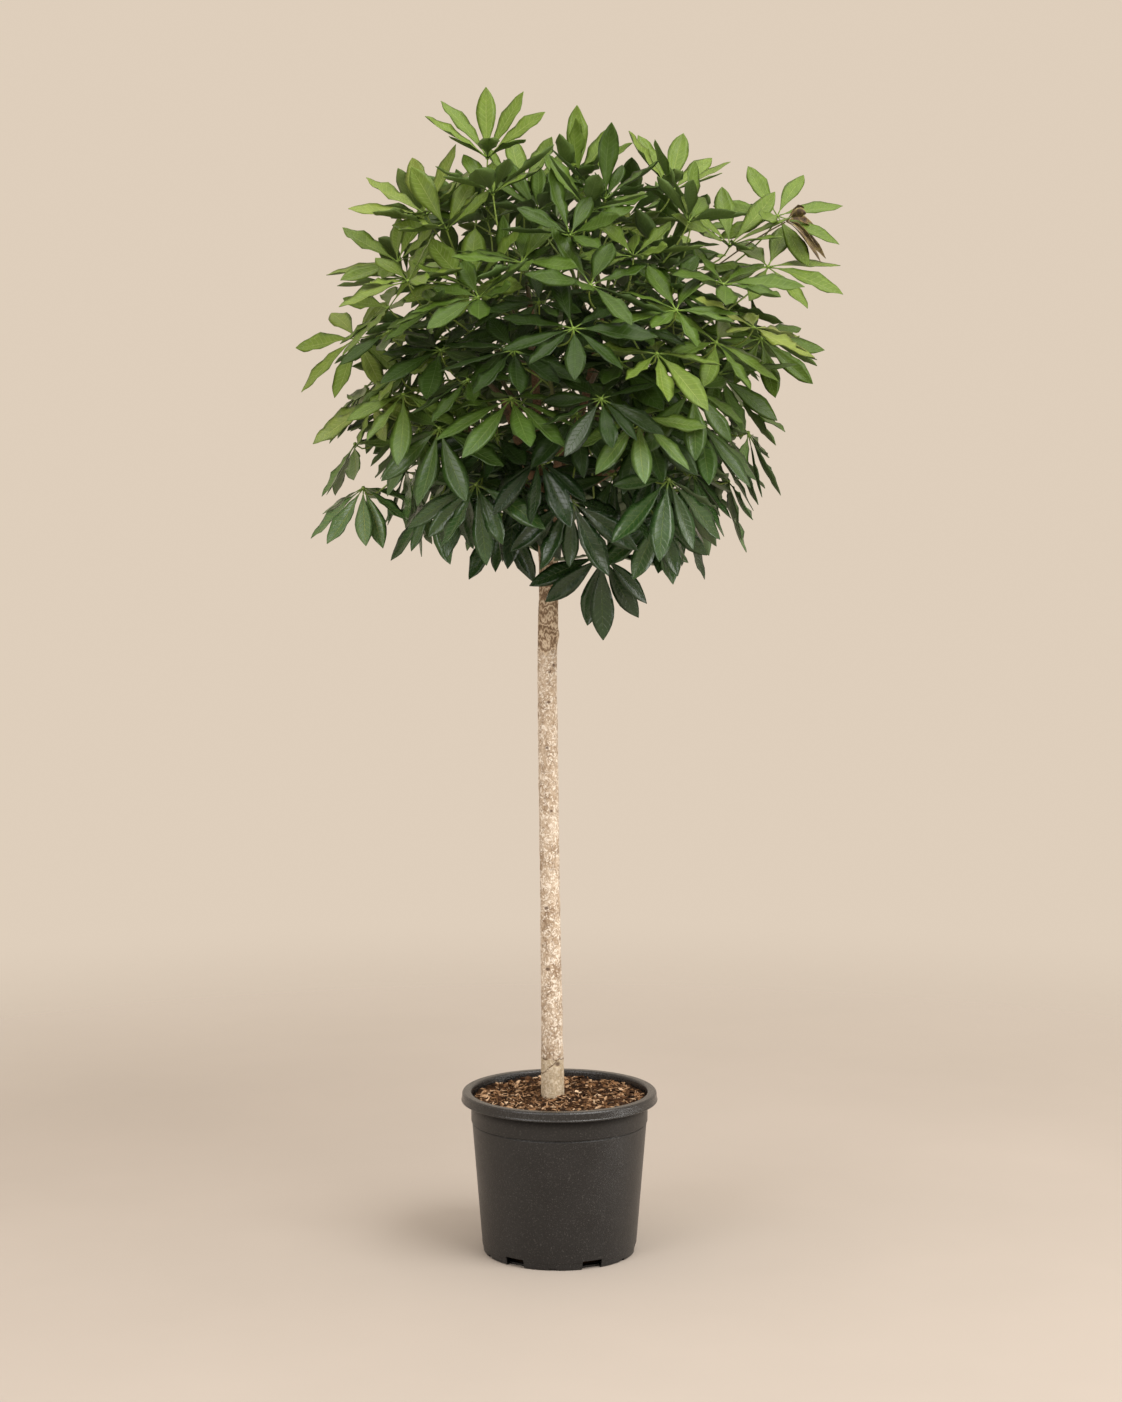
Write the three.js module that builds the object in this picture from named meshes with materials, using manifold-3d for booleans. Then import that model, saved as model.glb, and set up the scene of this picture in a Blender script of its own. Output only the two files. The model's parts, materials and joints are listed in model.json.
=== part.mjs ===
// Potted umbrella plant: a tall bare trunk under a round crown of palmate leaves, in a plain nursery pot.
// Millimetres, +Z up, front of the plant towards -Y. The origin is the centre of the pot's foot.
import * as THREE from 'three';
import { mergeVertices } from 'three/addons/utils/BufferGeometryUtils.js';
import Module from 'manifold-3d';

const wasm = await Module();
wasm.setup();

// ---------------------------------------------------------------- driving dimensions: pot and potting mix

const GAP = 0.3;
const POT_HEIGHT = 258;
const RIM_RADIUS = 156;
const RIM_LIP_HEIGHT = 17;
const RIM_INNER_RADIUS = 139.5;
const RIM_ROUND = 2.5;
const COLLAR_HEIGHT = 28;
const COLLAR_RADIUS = 140.5;
const COLLAR_STEP = 1.8;
const FOOT_RADIUS = 122;
const FOOT_STEP_HEIGHT = 11;
const FOOT_STEP = 0.8;
const POT_WALL = 3;
const POT_SIDES = 36;
const NOTCH = { count: 6, firstDegrees: 25, width: 32, height: 12.5, innerRadius: 110 };
const NICK = { count: 6, firstDegrees: -5, width: 10, height: 2.5, innerRadius: 117 };

const MIX_LEVEL = 243;
const MIX_RELIEF = 4.5;
const MIX_SIDES = 24;
const MIX_RINGS = [108, 80, 52, 30];
const MIX_SEED = 31;

// ---------------------------------------------------------------- driving dimensions: trunk and limbs

// centre line of the trunk, from inside the mix up to the fork, with its radius
const TRUNK_LINE = [
  { at: [-11, 12, 116], radius: 18 },
  { at: [-11, 12, 234], radius: 19 },
  { at: [-11, 12, 268], radius: 19 },
  { at: [-12, 11, 356], radius: 17.5 },
  { at: [-14, 8, 506], radius: 16.5 },
  { at: [-17, 4, 746], radius: 16 },
  { at: [-19, 2, 918], radius: 15.5 },
  { at: [-18, 1, 988], radius: 16.5 },
  { at: [-17, 0, 1072], radius: 15.5 },
  { at: [-18, 0, 1156], radius: 16 },
  { at: [-18, 0, 1202], radius: 18 },
  { at: [-17, 0, 1218], radius: 12 },
];
const TRUNK_SIDES = 10;
const FORK = [-18, 0, 1192];
// where the woody limbs end and the youngest green wood begins
const LIMB_ENDS = [
  [-85, -55, 1351],
  [-150, 45, 1311],
  [5, -115, 1296],
  [120, -70, 1271],
  [160, 45, 1341],
  [60, 140, 1306],
  [-75, 145, 1356],
  [-45, 10, 1496],
  [70, -15, 1486],
];
const LIMB = { rootRadius: 10, endRadius: 6, sides: 6, steps: 5 };

// ---------------------------------------------------------------- driving dimensions: crown

const CROWN_CENTRE = [5, 0, 1391];
const CROWN_REACH = [325, 325, 315];
const SHOOTS = { count: 26, reach: 0.62, lowest: -0.5 };
const STEM = {
  rootRadius: 4.4, tipRadius: 2.8, sides: 5, steps: 3, spacing: 24, sag: 0.12, bulges: [12, 24],
};
const PETIOLE = {
  radius: 2.1,
  steps: 2,
  highestRoot: 0.97,
  rootSpread: 0.5,
  runOn: 0.25,
  arch: 0.35,
  bulges: [10, 22, 36, 52, 70],
};
const LEAFLET = {
  posedCount: 8,
  placedCount: 6,
  scatteredCount: 5,
  length: 114,
  width: 37,
  thickness: 2,
  channel: 3,
  sag: 0.12,
  shoulderAt: 0.58,
  widestAt: 0.62,
};
const HUB = { height: 2.2, radius: 8, room: 28 };
const CLEARANCE = 1;

// leaf hubs that make the outline and the front, [x, y, z], hand-placed from top to bottom
const PLACED_HUBS = [
  // top edge, left to right
  [-250, -10, 1561], [-202, -60, 1628], [-110, -40, 1716], [-55, 40, 1674], [28, 40, 1688],
  [70, -60, 1651], [172, 0, 1668], [262, -30, 1584], [338, 10, 1633], [320, -40, 1551],
  // upper front
  [-260, -80, 1486], [-130, -190, 1506], [110, -170, 1556], [245, -150, 1516], [-175, -200, 1416],
  [-55, -240, 1541], [45, -275, 1506], [170, -260, 1471],
  // middle, left to right
  [-315, -20, 1443], [-255, -150, 1446], [-230, -215, 1351], [-65, -310, 1411], [20, -325, 1441],
  [140, -310, 1406], [230, -230, 1426], [290, -165, 1451], [310, -40, 1442],
  [-285, -90, 1341], [-75, -310, 1326], [60, -330, 1341], [115, -300, 1266], [195, -270, 1356],
  [240, -90, 1384],
  // lower middle, left to right
  [-320, 20, 1281], [-175, -250, 1301], [-30, -260, 1256], [205, -190, 1311], [200, -140, 1236],
  // hanging lower edge, left to right
  [-303, -40, 1213], [-195, -70, 1196], [-165, 50, 1241], [-65, -120, 1218], [-90, 30, 1171],
  [15, -240, 1196], [65, -110, 1111], [150, -180, 1171], [160, -250, 1226], [180, -60, 1191],
];
// outline leaves that sit otherwise than the rule says, by place among the hubs: degrees (90 is straight up),
// droop, leaflet length, and how far the hub stands off its place to the right and upwards
const POSED_LEAVES = {
  1: { heading: -105, rise: 40, cup: 20, phase: 120 },
  2: { heading: -90, rise: 35, cup: 20, phase: 90 },
  3: { heading: -90, rise: 46, cup: 25, phase: 105 },
  4: { heading: -90, rise: 45, cup: 25, phase: 90 },
  6: { heading: -75, rise: 62, cup: 12, phase: 45 },
  7: { heading: -80, rise: 42, cup: 18, phase: 90 },
  8: { heading: -72, rise: 36, cup: 15, phase: 60 },
  9: { heading: -75, rise: 45, cup: 12, phase: 15 },
  18: { heading: -110, rise: 38, cup: 5, phase: 170 },
  26: { heading: -78, rise: 40, cup: 2, phase: 5 },
  28: { heading: -90, rise: 62, cup: -2, phase: 10, droop: 0.22, length: 118, shift: [6, 16] },
  30: { heading: -95, rise: 48, cup: 4, phase: 20, droop: 0.35, length: 105, shift: [0, 48] },
  38: { heading: -110, rise: 48, cup: 0, phase: 190 },
};
// of these, the fans that stand clear of the crown have all their leaflets
const FULL_FANS = [1, 2, 3, 4, 6, 7, 8, 9, 18, 26, 38];
// the other hubs are scattered through the crown, no two nearer than the spacing
const SCATTER = { seed: 36, tries: 9000, spacing: 82, inner: 0.72, lowest: -0.6 };
const LEAF_SEED = 900;
// how a leaf sits, by its height in the crown from -1 at the bottom to 1 at the top: [height, value] pairs
const RISE_BY_HEIGHT = [[-1, 8], [0, 38], [0.5, 50], [1, 58]];
const CUP_BY_HEIGHT = [[-1, -4], [-0.2, 0], [0.35, 24], [1, 32]];
// the leaves of the outline and the front lean towards the light, which comes from the front
const FRONT_LEAN = 260;
const DROOP_BY_HEIGHT = [[-1, 0.75], [-0.2, 0.28], [0.35, 0.08], [1, 0]];
// the dried leaf that hangs at the upper right
const WITHERED = {
  hub: [350, -18, 1622], count: 5, width: 15, rootAt: 0.38,
  pose: { heading: -15, rise: 30, cup: 42, phase: 20, droop: 0.25, length: 66 },
};

// ---------------------------------------------------------------- materials

const finish = (color, roughness) => new THREE.MeshStandardMaterial({ color, roughness, metalness: 0 });
const potPlastic = finish(0x2b2b2d, 0.55);
const pottingMix = finish(0x4a3527, 0.95);
const bark = finish(0x9c8260, 0.9);
const leafGreen = finish(0x3f6b2a, 0.4);
const driedLeaf = finish(0x8a6a35, 0.8);

// ---------------------------------------------------------------- solids and meshes

const UP = new THREE.Vector3(0, 0, 1);
const vector = (point) => new THREE.Vector3(...point);
const lerp = THREE.MathUtils.lerp;
const radians = THREE.MathUtils.degToRad;

function solidFromArrays(positions, corners) {
  const vertProperties = new Float32Array(positions);
  const triVerts = new Uint32Array(corners);
  return new wasm.Manifold(new wasm.Mesh({ numProp: 3, vertProperties, triVerts }));
}

function solidFrom(points, faces) {
  return solidFromArrays(points.flatMap((point) => point.toArray()), faces.flat());
}

function solidOf(geometry) {
  const bare = geometry.clone();
  bare.deleteAttribute('normal');
  bare.deleteAttribute('uv');
  const merged = mergeVertices(bare, 1e-4);
  return solidFromArrays(merged.attributes.position.array, merged.index.array);
}

function largestPiece(solid) {
  return solid.decompose().reduce((best, piece) => (piece.volume() > best.volume() ? piece : best));
}

function meshOf(name, solid, material) {
  const { vertProperties, triVerts, numProp } = solid.getMesh();
  const geometry = new THREE.BufferGeometry();
  const positions = new Float32Array((vertProperties.length / numProp) * 3);
  for (let i = 0; i < positions.length / 3; i += 1) {
    positions.set(vertProperties.subarray(i * numProp, i * numProp + 3), i * 3);
  }
  geometry.setAttribute('position', new THREE.BufferAttribute(positions, 3));
  geometry.setIndex(new THREE.BufferAttribute(new Uint32Array(triVerts), 1));
  geometry.computeVertexNormals();
  const mesh = new THREE.Mesh(geometry, material);
  mesh.name = name;
  return mesh;
}

// the same draws each time for the same seed
function randomSource(seed) {
  let state = seed >>> 0;
  return () => {
    state = (state + 0x6d2b79f5) >>> 0;
    let mixed = Math.imul(state ^ (state >>> 15), 1 | state);
    mixed = (mixed + Math.imul(mixed ^ (mixed >>> 7), 61 | mixed)) ^ mixed;
    return ((mixed ^ (mixed >>> 14)) >>> 0) / 4294967296;
  };
}

// ---------------------------------------------------------------- tubes along a line

// two unit vectors square to each tangent, carried along the line without twisting
function framesAlong(points, firstAcross) {
  const frames = [];
  let across = firstAcross;
  points.forEach((point, i) => {
    const before = points[Math.max(i - 1, 0)];
    const after = points[Math.min(i + 1, points.length - 1)];
    const tangent = after.clone().sub(before).normalize();
    across = across.clone().addScaledVector(tangent, -across.dot(tangent)).normalize();
    frames.push({ across, up: new THREE.Vector3().crossVectors(tangent, across) });
  });
  return frames;
}

function ringAround(centre, frame, radius, sides) {
  return Array.from({ length: sides }, (_, k) => {
    const angle = (2 * Math.PI * k) / sides;
    return centre.clone()
      .addScaledVector(frame.across, radius * Math.cos(angle))
      .addScaledVector(frame.up, radius * Math.sin(angle));
  });
}

function squareTo(direction) {
  const helper = Math.abs(direction.z) < 0.9 ? UP : new THREE.Vector3(1, 0, 0);
  return new THREE.Vector3().crossVectors(helper, direction).normalize();
}

// a closed tube through the points, with a radius for each
function taperedTube(points, radii, sides) {
  const frames = framesAlong(points, squareTo(points[1].clone().sub(points[0])));
  const rings = points.map((point, i) => ringAround(point, frames[i], radii[i], sides));
  const faces = [];
  for (let j = 0; j < points.length - 1; j += 1) {
    for (let k = 0; k < sides; k += 1) {
      const next = (k + 1) % sides;
      const [a, b, c, d] = [j * sides + k, j * sides + next, (j + 1) * sides + next, (j + 1) * sides + k];
      faces.push([a, b, c], [a, c, d]);
    }
  }
  const top = (points.length - 1) * sides;
  for (let k = 1; k < sides - 1; k += 1) {
    faces.push([0, k + 1, k], [top, top + k, top + k + 1]);
  }
  return solidFrom(rings.flat(), faces);
}

function evenTaper(points, rootRadius, endRadius) {
  return points.map((_, i) => lerp(rootRadius, endRadius, i / (points.length - 1)));
}

// ---------------------------------------------------------------- pot

function footCuts(cut) {
  const outerRadius = RIM_RADIUS;
  const depth = outerRadius - cut.innerRadius;
  const height = 2 * cut.height;
  const box = new THREE.BoxGeometry(depth, cut.width, height).translate(cut.innerRadius + depth / 2, 0, 0);
  return Array.from({ length: cut.count }, (_, k) => {
    const angle = radians(cut.firstDegrees + (360 * k) / cut.count) - Math.PI / 2;
    return solidOf(box.clone().rotateZ(angle));
  });
}

function wallRadius(level) {
  const wallHeight = POT_HEIGHT - RIM_LIP_HEIGHT - COLLAR_HEIGHT;
  return lerp(FOOT_RADIUS, COLLAR_RADIUS - COLLAR_STEP, level / wallHeight);
}

function makePot() {
  const lipBottom = POT_HEIGHT - RIM_LIP_HEIGHT;
  const collarBottom = lipBottom - COLLAR_HEIGHT;
  const profile = [
    [0, 0],
    [FOOT_RADIUS - 2 * FOOT_STEP - 1.5, 0],
    [FOOT_RADIUS - FOOT_STEP, 2],
    [wallRadius(FOOT_STEP_HEIGHT) - FOOT_STEP, FOOT_STEP_HEIGHT],
    [wallRadius(FOOT_STEP_HEIGHT + 1), FOOT_STEP_HEIGHT + 1],
    [COLLAR_RADIUS - COLLAR_STEP, collarBottom - 1],
    [COLLAR_RADIUS - 0.2, collarBottom + 1],
    [COLLAR_RADIUS, lipBottom],
    [RIM_RADIUS - 1.5, lipBottom],
    [RIM_RADIUS, lipBottom + 2],
    [RIM_RADIUS, POT_HEIGHT - RIM_ROUND - 1],
    [RIM_RADIUS - 1.3, POT_HEIGHT - 1],
    [RIM_RADIUS - RIM_ROUND - 1.5, POT_HEIGHT],
    [RIM_INNER_RADIUS + 1.5, POT_HEIGHT],
    [RIM_INNER_RADIUS, POT_HEIGHT - 2],
    [COLLAR_RADIUS - POT_WALL, lipBottom - 2],
    [FOOT_RADIUS - POT_WALL, POT_WALL + 0.2],
    [0, POT_WALL + 0.2],
  ].map(([r, z]) => new THREE.Vector2(r, z));
  let pot = solidOf(new THREE.LatheGeometry(profile, POT_SIDES).rotateX(Math.PI / 2));
  for (const cut of [...footCuts(NOTCH), ...footCuts(NICK)]) {
    pot = pot.subtract(cut);
  }
  return pot;
}

// ---------------------------------------------------------------- potting mix

function makeMix(trunkHole) {
  const lipBottom = POT_HEIGHT - RIM_LIP_HEIGHT;
  const clear = POT_WALL + 2 * GAP;
  const level = POT_WALL + 2 * GAP + 0.2;
  const brimRadius = COLLAR_RADIUS - clear - 0.4;
  const profile = [
    [0, level],
    [FOOT_RADIUS - clear, level],
    [brimRadius, lipBottom - 3],
    ...MIX_RINGS.map((radius) => [radius, MIX_LEVEL]),
    [0, MIX_LEVEL],
  ].map(([r, z]) => new THREE.Vector2(r, z));
  const geometry = new THREE.LatheGeometry(profile, MIX_SIDES).rotateX(Math.PI / 2);
  geometry.deleteAttribute('normal');
  geometry.deleteAttribute('uv');
  const heap = mergeVertices(geometry, 1e-4);
  const draw = randomSource(MIX_SEED);
  const position = heap.attributes.position;
  for (let i = 0; i < position.count; i += 1) {
    if (Math.abs(position.getZ(i) - MIX_LEVEL) < 0.01) {
      position.setZ(i, MIX_LEVEL + (2 * draw() - 1) * MIX_RELIEF);
    }
  }
  return solidOf(heap).subtract(trunkHole);
}

// ---------------------------------------------------------------- trunk and limbs

function trunkSolid(extra) {
  return taperedTube(
    TRUNK_LINE.map(({ at }) => vector(at)),
    TRUNK_LINE.map(({ radius }) => radius + extra),
    TRUNK_SIDES,
  );
}

function makeTrunkHole() {
  const [first, second] = TRUNK_LINE;
  const low = vector(first.at).setZ(first.at[2] - GAP);
  const high = vector(second.at).setZ(POT_HEIGHT);
  const radius = second.radius + 3 * GAP;
  return taperedTube([low, high], [radius, radius], TRUNK_SIDES);
}

function limbLine(end) {
  const from = vector(FORK);
  const to = vector(end);
  const span = to.clone().sub(from);
  const bend = new THREE.Vector3(from.x + 0.5 * span.x, from.y + 0.5 * span.y, from.z + 0.25 * span.z);
  return new THREE.QuadraticBezierCurve3(from, bend, to);
}

function limbSolid(curve, extra) {
  const points = curve.getPoints(LIMB.steps);
  points[LIMB.steps].addScaledVector(curve.getTangent(1), extra);
  const radii = evenTaper(points, LIMB.rootRadius, LIMB.endRadius).map((radius) => radius + extra);
  return taperedTube(points, radii, LIMB.sides);
}

// ---------------------------------------------------------------- what is already in the crown

// each entry is a closed shape, a little fatter than the real piece, with its owner's name
const taken = [];

function remember(owner, solid) {
  taken.push({ owner, solid, box: solid.boundingBox() });
}

function boxesMeet(a, b) {
  return [0, 1, 2].every((axis) => a.min[axis] <= b.max[axis] && b.min[axis] <= a.max[axis]);
}

function crosses(solid, ignore) {
  const box = solid.boundingBox();
  return taken.some((entry) => {
    if (ignore(entry.owner) || !boxesMeet(box, entry.box)) return false;
    const shared = solid.intersect(entry.solid);
    const meets = !shared.isEmpty();
    shared.delete();
    return meets;
  });
}

// ---------------------------------------------------------------- leafy shoots

// directions spread evenly over the crown, from its top to its lowest shoots
function shootDirections() {
  const golden = Math.PI * (3 - Math.sqrt(5));
  return Array.from({ length: SHOOTS.count }, (_, k) => {
    const z = 1 - ((k + 0.5) / SHOOTS.count) * (1 - SHOOTS.lowest);
    const flat = Math.sqrt(1 - z * z);
    return new THREE.Vector3(flat * Math.cos(golden * k), flat * Math.sin(golden * k), z);
  });
}

function planShoots(limbs) {
  const shoots = shootDirections().map((direction) => {
    const reach = vector(CROWN_REACH).multiplyScalar(SHOOTS.reach);
    const tip = direction.multiply(reach).add(vector(CROWN_CENTRE));
    const distances = limbs.map((limb) => limb.getPoint(1).distanceTo(tip));
    return { tip, limb: distances.indexOf(Math.min(...distances)), leaves: [] };
  });
  // the shoot that runs on furthest leaves the limb's end, and the others leave it lower down
  limbs.forEach((limb, index) => {
    const onLimb = shoots.filter((shoot) => shoot.limb === index);
    const tangent = limb.getTangent(1);
    const runOn = (shoot) => shoot.tip.clone().sub(limb.getPoint(1)).normalize().dot(tangent);
    onLimb.sort((a, b) => runOn(b) - runOn(a));
    onLimb.forEach((shoot, rank) => {
      shoot.root = limb.getPointAt(Math.max(1 - (rank * STEM.spacing) / limb.getLength(), 0.3));
    });
  });
  return shoots;
}

// sideways bulges tried in turn on a stem or petiole that would cross another
function bulges(direction, sizes) {
  const across = squareTo(direction);
  const turns = [0, 60, 120, 180, 240, 300];
  return [
    new THREE.Vector3(),
    ...sizes.flatMap((size) => turns.map((turn) => (
      across.clone().applyAxisAngle(direction, radians(turn)).multiplyScalar(size)))),
  ];
}

function growStem(shoot) {
  const span = shoot.tip.clone().sub(shoot.root);
  const direction = span.clone().normalize();
  const owner = shoot.name;
  const ignore = (other) => other === owner || other === `limb ${shoot.limb}`;
  const middle = shoot.root.clone().addScaledVector(span, 0.5).addScaledVector(UP, -STEM.sag * span.length());
  for (const bulge of bulges(direction, STEM.bulges)) {
    const bend = middle.clone().add(bulge);
    shoot.curve = new THREE.QuadraticBezierCurve3(shoot.root, bend, shoot.tip);
    const points = shoot.curve.getPoints(STEM.steps);
    const radii = evenTaper(points, STEM.rootRadius, STEM.tipRadius);
    const room = taperedTube(points, radii.map((radius) => radius + CLEARANCE), STEM.sides);
    shoot.solid = taperedTube(points, radii, STEM.sides);
    shoot.room = room;
    if (!crosses(room, ignore)) break;
  }
  remember(owner, shoot.room);
}

// ---------------------------------------------------------------- leaves

function valueAt(height, pairs) {
  const k = Math.max(pairs.findIndex(([edge]) => edge >= height), 1);
  const [[low, lowValue], [high, highValue]] = [pairs[k - 1], pairs[k]];
  return lerp(lowValue, highValue, (height - low) / (high - low));
}

// how a leaf sits follows from its place: upright fans on top, flat umbrellas on the sides, tassels below
function planLeaf(place, index) {
  const draw = randomSource(LEAF_SEED + index);
  const jitter = (spread) => (2 * draw() - 1) * spread;
  const outward = place.clone().sub(vector(CROWN_CENTRE));
  const height = THREE.MathUtils.clamp(outward.z / CROWN_REACH[2], -1, 1);
  const lean = index < PLACED_HUBS.length ? FRONT_LEAN : 0;
  const byRule = {
    heading: THREE.MathUtils.radToDeg(Math.atan2(outward.y - lean, outward.x)) + jitter(20),
    rise: Math.min(valueAt(height, RISE_BY_HEIGHT) + jitter(12), 90),
    cup: valueAt(height, CUP_BY_HEIGHT) + jitter(7),
    phase: 360 * draw(),
    droop: valueAt(height, DROOP_BY_HEIGHT),
    length: LEAFLET.length * (1 + jitter(0.09)),
    shift: [0, 0],
  };
  const sit = { ...byRule, ...(index < 0 ? WITHERED.pose : POSED_LEAVES[index]) };
  const [heading, rise] = [radians(sit.heading), radians(sit.rise)];
  const axis = new THREE.Vector3(
    Math.cos(rise) * Math.cos(heading), Math.cos(rise) * Math.sin(heading), Math.sin(rise),
  );
  const placed = FULL_FANS.includes(index) ? LEAFLET.posedCount : LEAFLET.placedCount;
  return {
    hub: place.clone().add(new THREE.Vector3(sit.shift[0], 0, sit.shift[1])),
    axis,
    cup: radians(sit.cup),
    droop: sit.droop,
    length: sit.length,
    phase: radians(sit.phase),
    count: index < PLACED_HUBS.length ? placed : LEAFLET.scatteredCount,
    width: LEAFLET.width,
  };
}

// the direction, the side and the upper face of one leaflet, bent by its weight
function leafletFrame(leaf, azimuth, pitch, yaw) {
  const u = squareTo(leaf.axis);
  const v = new THREE.Vector3().crossVectors(leaf.axis, u);
  const radial = u.clone().multiplyScalar(Math.cos(azimuth)).addScaledVector(v, Math.sin(azimuth));
  const side = new THREE.Vector3().crossVectors(leaf.axis, radial);
  const along = radial.multiplyScalar(Math.cos(leaf.cup)).addScaledVector(leaf.axis, Math.sin(leaf.cup));
  along.addScaledVector(UP, -leaf.droop).normalize();
  const across = side.addScaledVector(along, -side.dot(along)).normalize();
  along.applyAxisAngle(across, -pitch);
  const normal = new THREE.Vector3().crossVectors(along, across);
  along.applyAxisAngle(normal, yaw);
  across.applyAxisAngle(normal, yaw);
  return { along, across, normal };
}

function leafletPoint(leaf, frame, s, side, lift) {
  const level = Math.hypot(frame.along.x, frame.along.y);
  return leaf.hub.clone()
    .addScaledVector(frame.along, s * leaf.length)
    .addScaledVector(frame.across, side)
    .addScaledVector(frame.normal, lift)
    .addScaledVector(UP, -LEAFLET.sag * leaf.length * level * s * s);
}

// the outer part of a leaflet as a plate, fatter than the leaflet by the clearance
function leafletRoom(leaf, frame, from) {
  const half = leaf.width / 2 + CLEARANCE;
  const rootHalf = lerp(HUB.radius / 2, half, from / LEAFLET.shoulderAt) + CLEARANCE;
  const plate = (lift) => [
    leafletPoint(leaf, frame, from, -rootHalf, lift),
    leafletPoint(leaf, frame, LEAFLET.shoulderAt, -half, lift),
    leafletPoint(leaf, frame, 1.01, 0, lift),
    leafletPoint(leaf, frame, LEAFLET.shoulderAt, half, lift),
    leafletPoint(leaf, frame, from, rootHalf, lift),
    leafletPoint(leaf, frame, LEAFLET.widestAt, 0, lift * 1.6 - LEAFLET.channel),
  ];
  const faces = [];
  for (let k = 0; k < 5; k += 1) {
    const next = (k + 1) % 5;
    faces.push([5, k, next], [11, 6 + next, 6 + k], [6 + k, 6 + next, next], [6 + k, next, k]);
  }
  return solidFrom([...plate(CLEARANCE), ...plate(-CLEARANCE)], faces);
}

const BENDS = [0, 9, -9, 18, -18, 28, -28, 38].flatMap((pitch) => (
  [0, 8, -8].map((yaw) => ({ pitch: radians(pitch), yaw: radians(yaw) }))));

// each leaflet is bent until it clears everything in its way, or is left out
function spreadLeaflets(leaf) {
  leaf.leaflets = [];
  for (let k = 0; k < leaf.count; k += 1) {
    const azimuth = leaf.phase + (2 * Math.PI * k) / leaf.count;
    for (const { pitch, yaw } of BENDS) {
      const frame = leafletFrame(leaf, azimuth, pitch, yaw);
      const room = leafletRoom(leaf, frame, 0.16);
      const blade = leafletRoom(leaf, frame, 0.34);
      const ownPetiole = `${leaf.name} petiole`;
      const ownHub = `${leaf.name} hub`;
      const clear = !crosses(room, (owner) => owner === ownPetiole || owner === ownHub)
        && !crosses(blade, (owner) => owner !== ownPetiole);
      blade.delete();
      if (clear) {
        leaf.leaflets.push(frame);
        remember(leaf.name, room);
        break;
      }
      room.delete();
    }
  }
}

// a petiole arcs from its root on the stem to the under side of its hub
function growPetiole(leaf, ignore) {
  const normals = Array.from({ length: leaf.count }, (_, k) => (
    leafletFrame(leaf, leaf.phase + (2 * Math.PI * k) / leaf.count, 0, 0).normal));
  leaf.face = normals.reduce((sum, normal) => sum.add(normal), new THREE.Vector3()).normalize();
  const end = leaf.hub.clone().addScaledVector(leaf.face, -HUB.height);
  const length = leaf.root.distanceTo(end);
  const direction = end.clone().sub(leaf.root).normalize();
  const onward = leaf.shoot.curve.getTangent(1);
  for (const bulge of bulges(direction, PETIOLE.bulges)) {
    const lower = leaf.root.clone().addScaledVector(onward, PETIOLE.runOn * length).add(bulge);
    const upper = end.clone().addScaledVector(leaf.face, -PETIOLE.arch * length).add(bulge);
    leaf.petiole = new THREE.CubicBezierCurve3(leaf.root, lower, upper, end).getPoints(PETIOLE.steps);
    leaf.petioleRoom = taperedTube(leaf.petiole, leaf.petiole.map(() => PETIOLE.radius + CLEARANCE), 4);
    if (!crosses(leaf.petioleRoom, (owner) => owner === `${leaf.name} hub` || ignore(owner))) break;
  }
  remember(`${leaf.name} petiole`, leaf.petioleRoom);
}

// one closed skin over the hub, its leaflets and its petiole
function leafSolid(leaf) {
  const count = leaf.leaflets.length;
  const face = leaf.face;
  const half = leaf.width / 2;
  const rib = LEAFLET.thickness / 2;
  const points = [leaf.hub.clone().addScaledVector(face, HUB.height)];
  const faces = [];
  const chain = [];
  leaf.leaflets.forEach((frame, i) => {
    const before = leaf.leaflets[(i + count - 1) % count];
    const sinus = before.along.clone().add(frame.along).setLength(HUB.radius).add(leaf.hub);
    points.push(
      sinus,
      leafletPoint(leaf, frame, LEAFLET.shoulderAt, -half, 0),
      leafletPoint(leaf, frame, 1, 0, 0),
      leafletPoint(leaf, frame, LEAFLET.shoulderAt, half, 0),
      leafletPoint(leaf, frame, LEAFLET.widestAt, 0, rib - LEAFLET.channel),
      leafletPoint(leaf, frame, LEAFLET.widestAt, 0, -rib - LEAFLET.channel),
    );
    const [root, first, tip, last, upper, lower] = [1, 2, 3, 4, 5, 6].map((k) => 6 * i + k);
    const nextRoot = 6 * ((i + 1) % count) + 1;
    faces.push([upper, root, first], [upper, first, tip], [upper, tip, last], [upper, last, nextRoot]);
    faces.push([upper, nextRoot, 0], [upper, 0, root]);
    faces.push([lower, first, root], [lower, tip, first], [lower, last, tip], [lower, nextRoot, last]);
    chain.push(root, lower);
  });
  // three-sided petiole from the under side of the hub to its root
  const line = [...leaf.petiole].reverse();
  const third = Math.floor(chain.length / 3);
  const firstThird = chain.slice(0, third + 1).reduce((sum, k) => sum.add(points[k]), new THREE.Vector3());
  const start = firstThird.divideScalar(third + 1).sub(leaf.hub);
  start.addScaledVector(face, -start.dot(face)).normalize();
  const ringStart = points.length;
  framesAlong(line, start).forEach((frame, j) => {
    // the line runs down from the hub, so the ring is wound the other way round
    frame.up.negate();
    points.push(...ringAround(line[j], frame, PETIOLE.radius, 3));
  });
  const ringOf = (k) => Math.min(Math.floor(k / (chain.length / 3)), 2);
  chain.forEach((vertex, k) => {
    const next = chain[(k + 1) % chain.length];
    const here = ringStart + ringOf(k);
    const there = ringStart + ringOf((k + 1) % chain.length);
    faces.push([here, next, vertex]);
    if (there !== here) faces.push([here, there, next]);
  });
  for (let j = 0; j < line.length - 1; j += 1) {
    for (let k = 0; k < 3; k += 1) {
      const next = (k + 1) % 3;
      const [a, b] = [ringStart + 3 * j + k, ringStart + 3 * j + next];
      faces.push([a + 3, b + 3, b], [a + 3, b, a]);
    }
  }
  const last = ringStart + 3 * (line.length - 1);
  faces.push([last, last + 2, last + 1]);
  return solidFrom(points, faces);
}

// ---------------------------------------------------------------- crown

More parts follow.
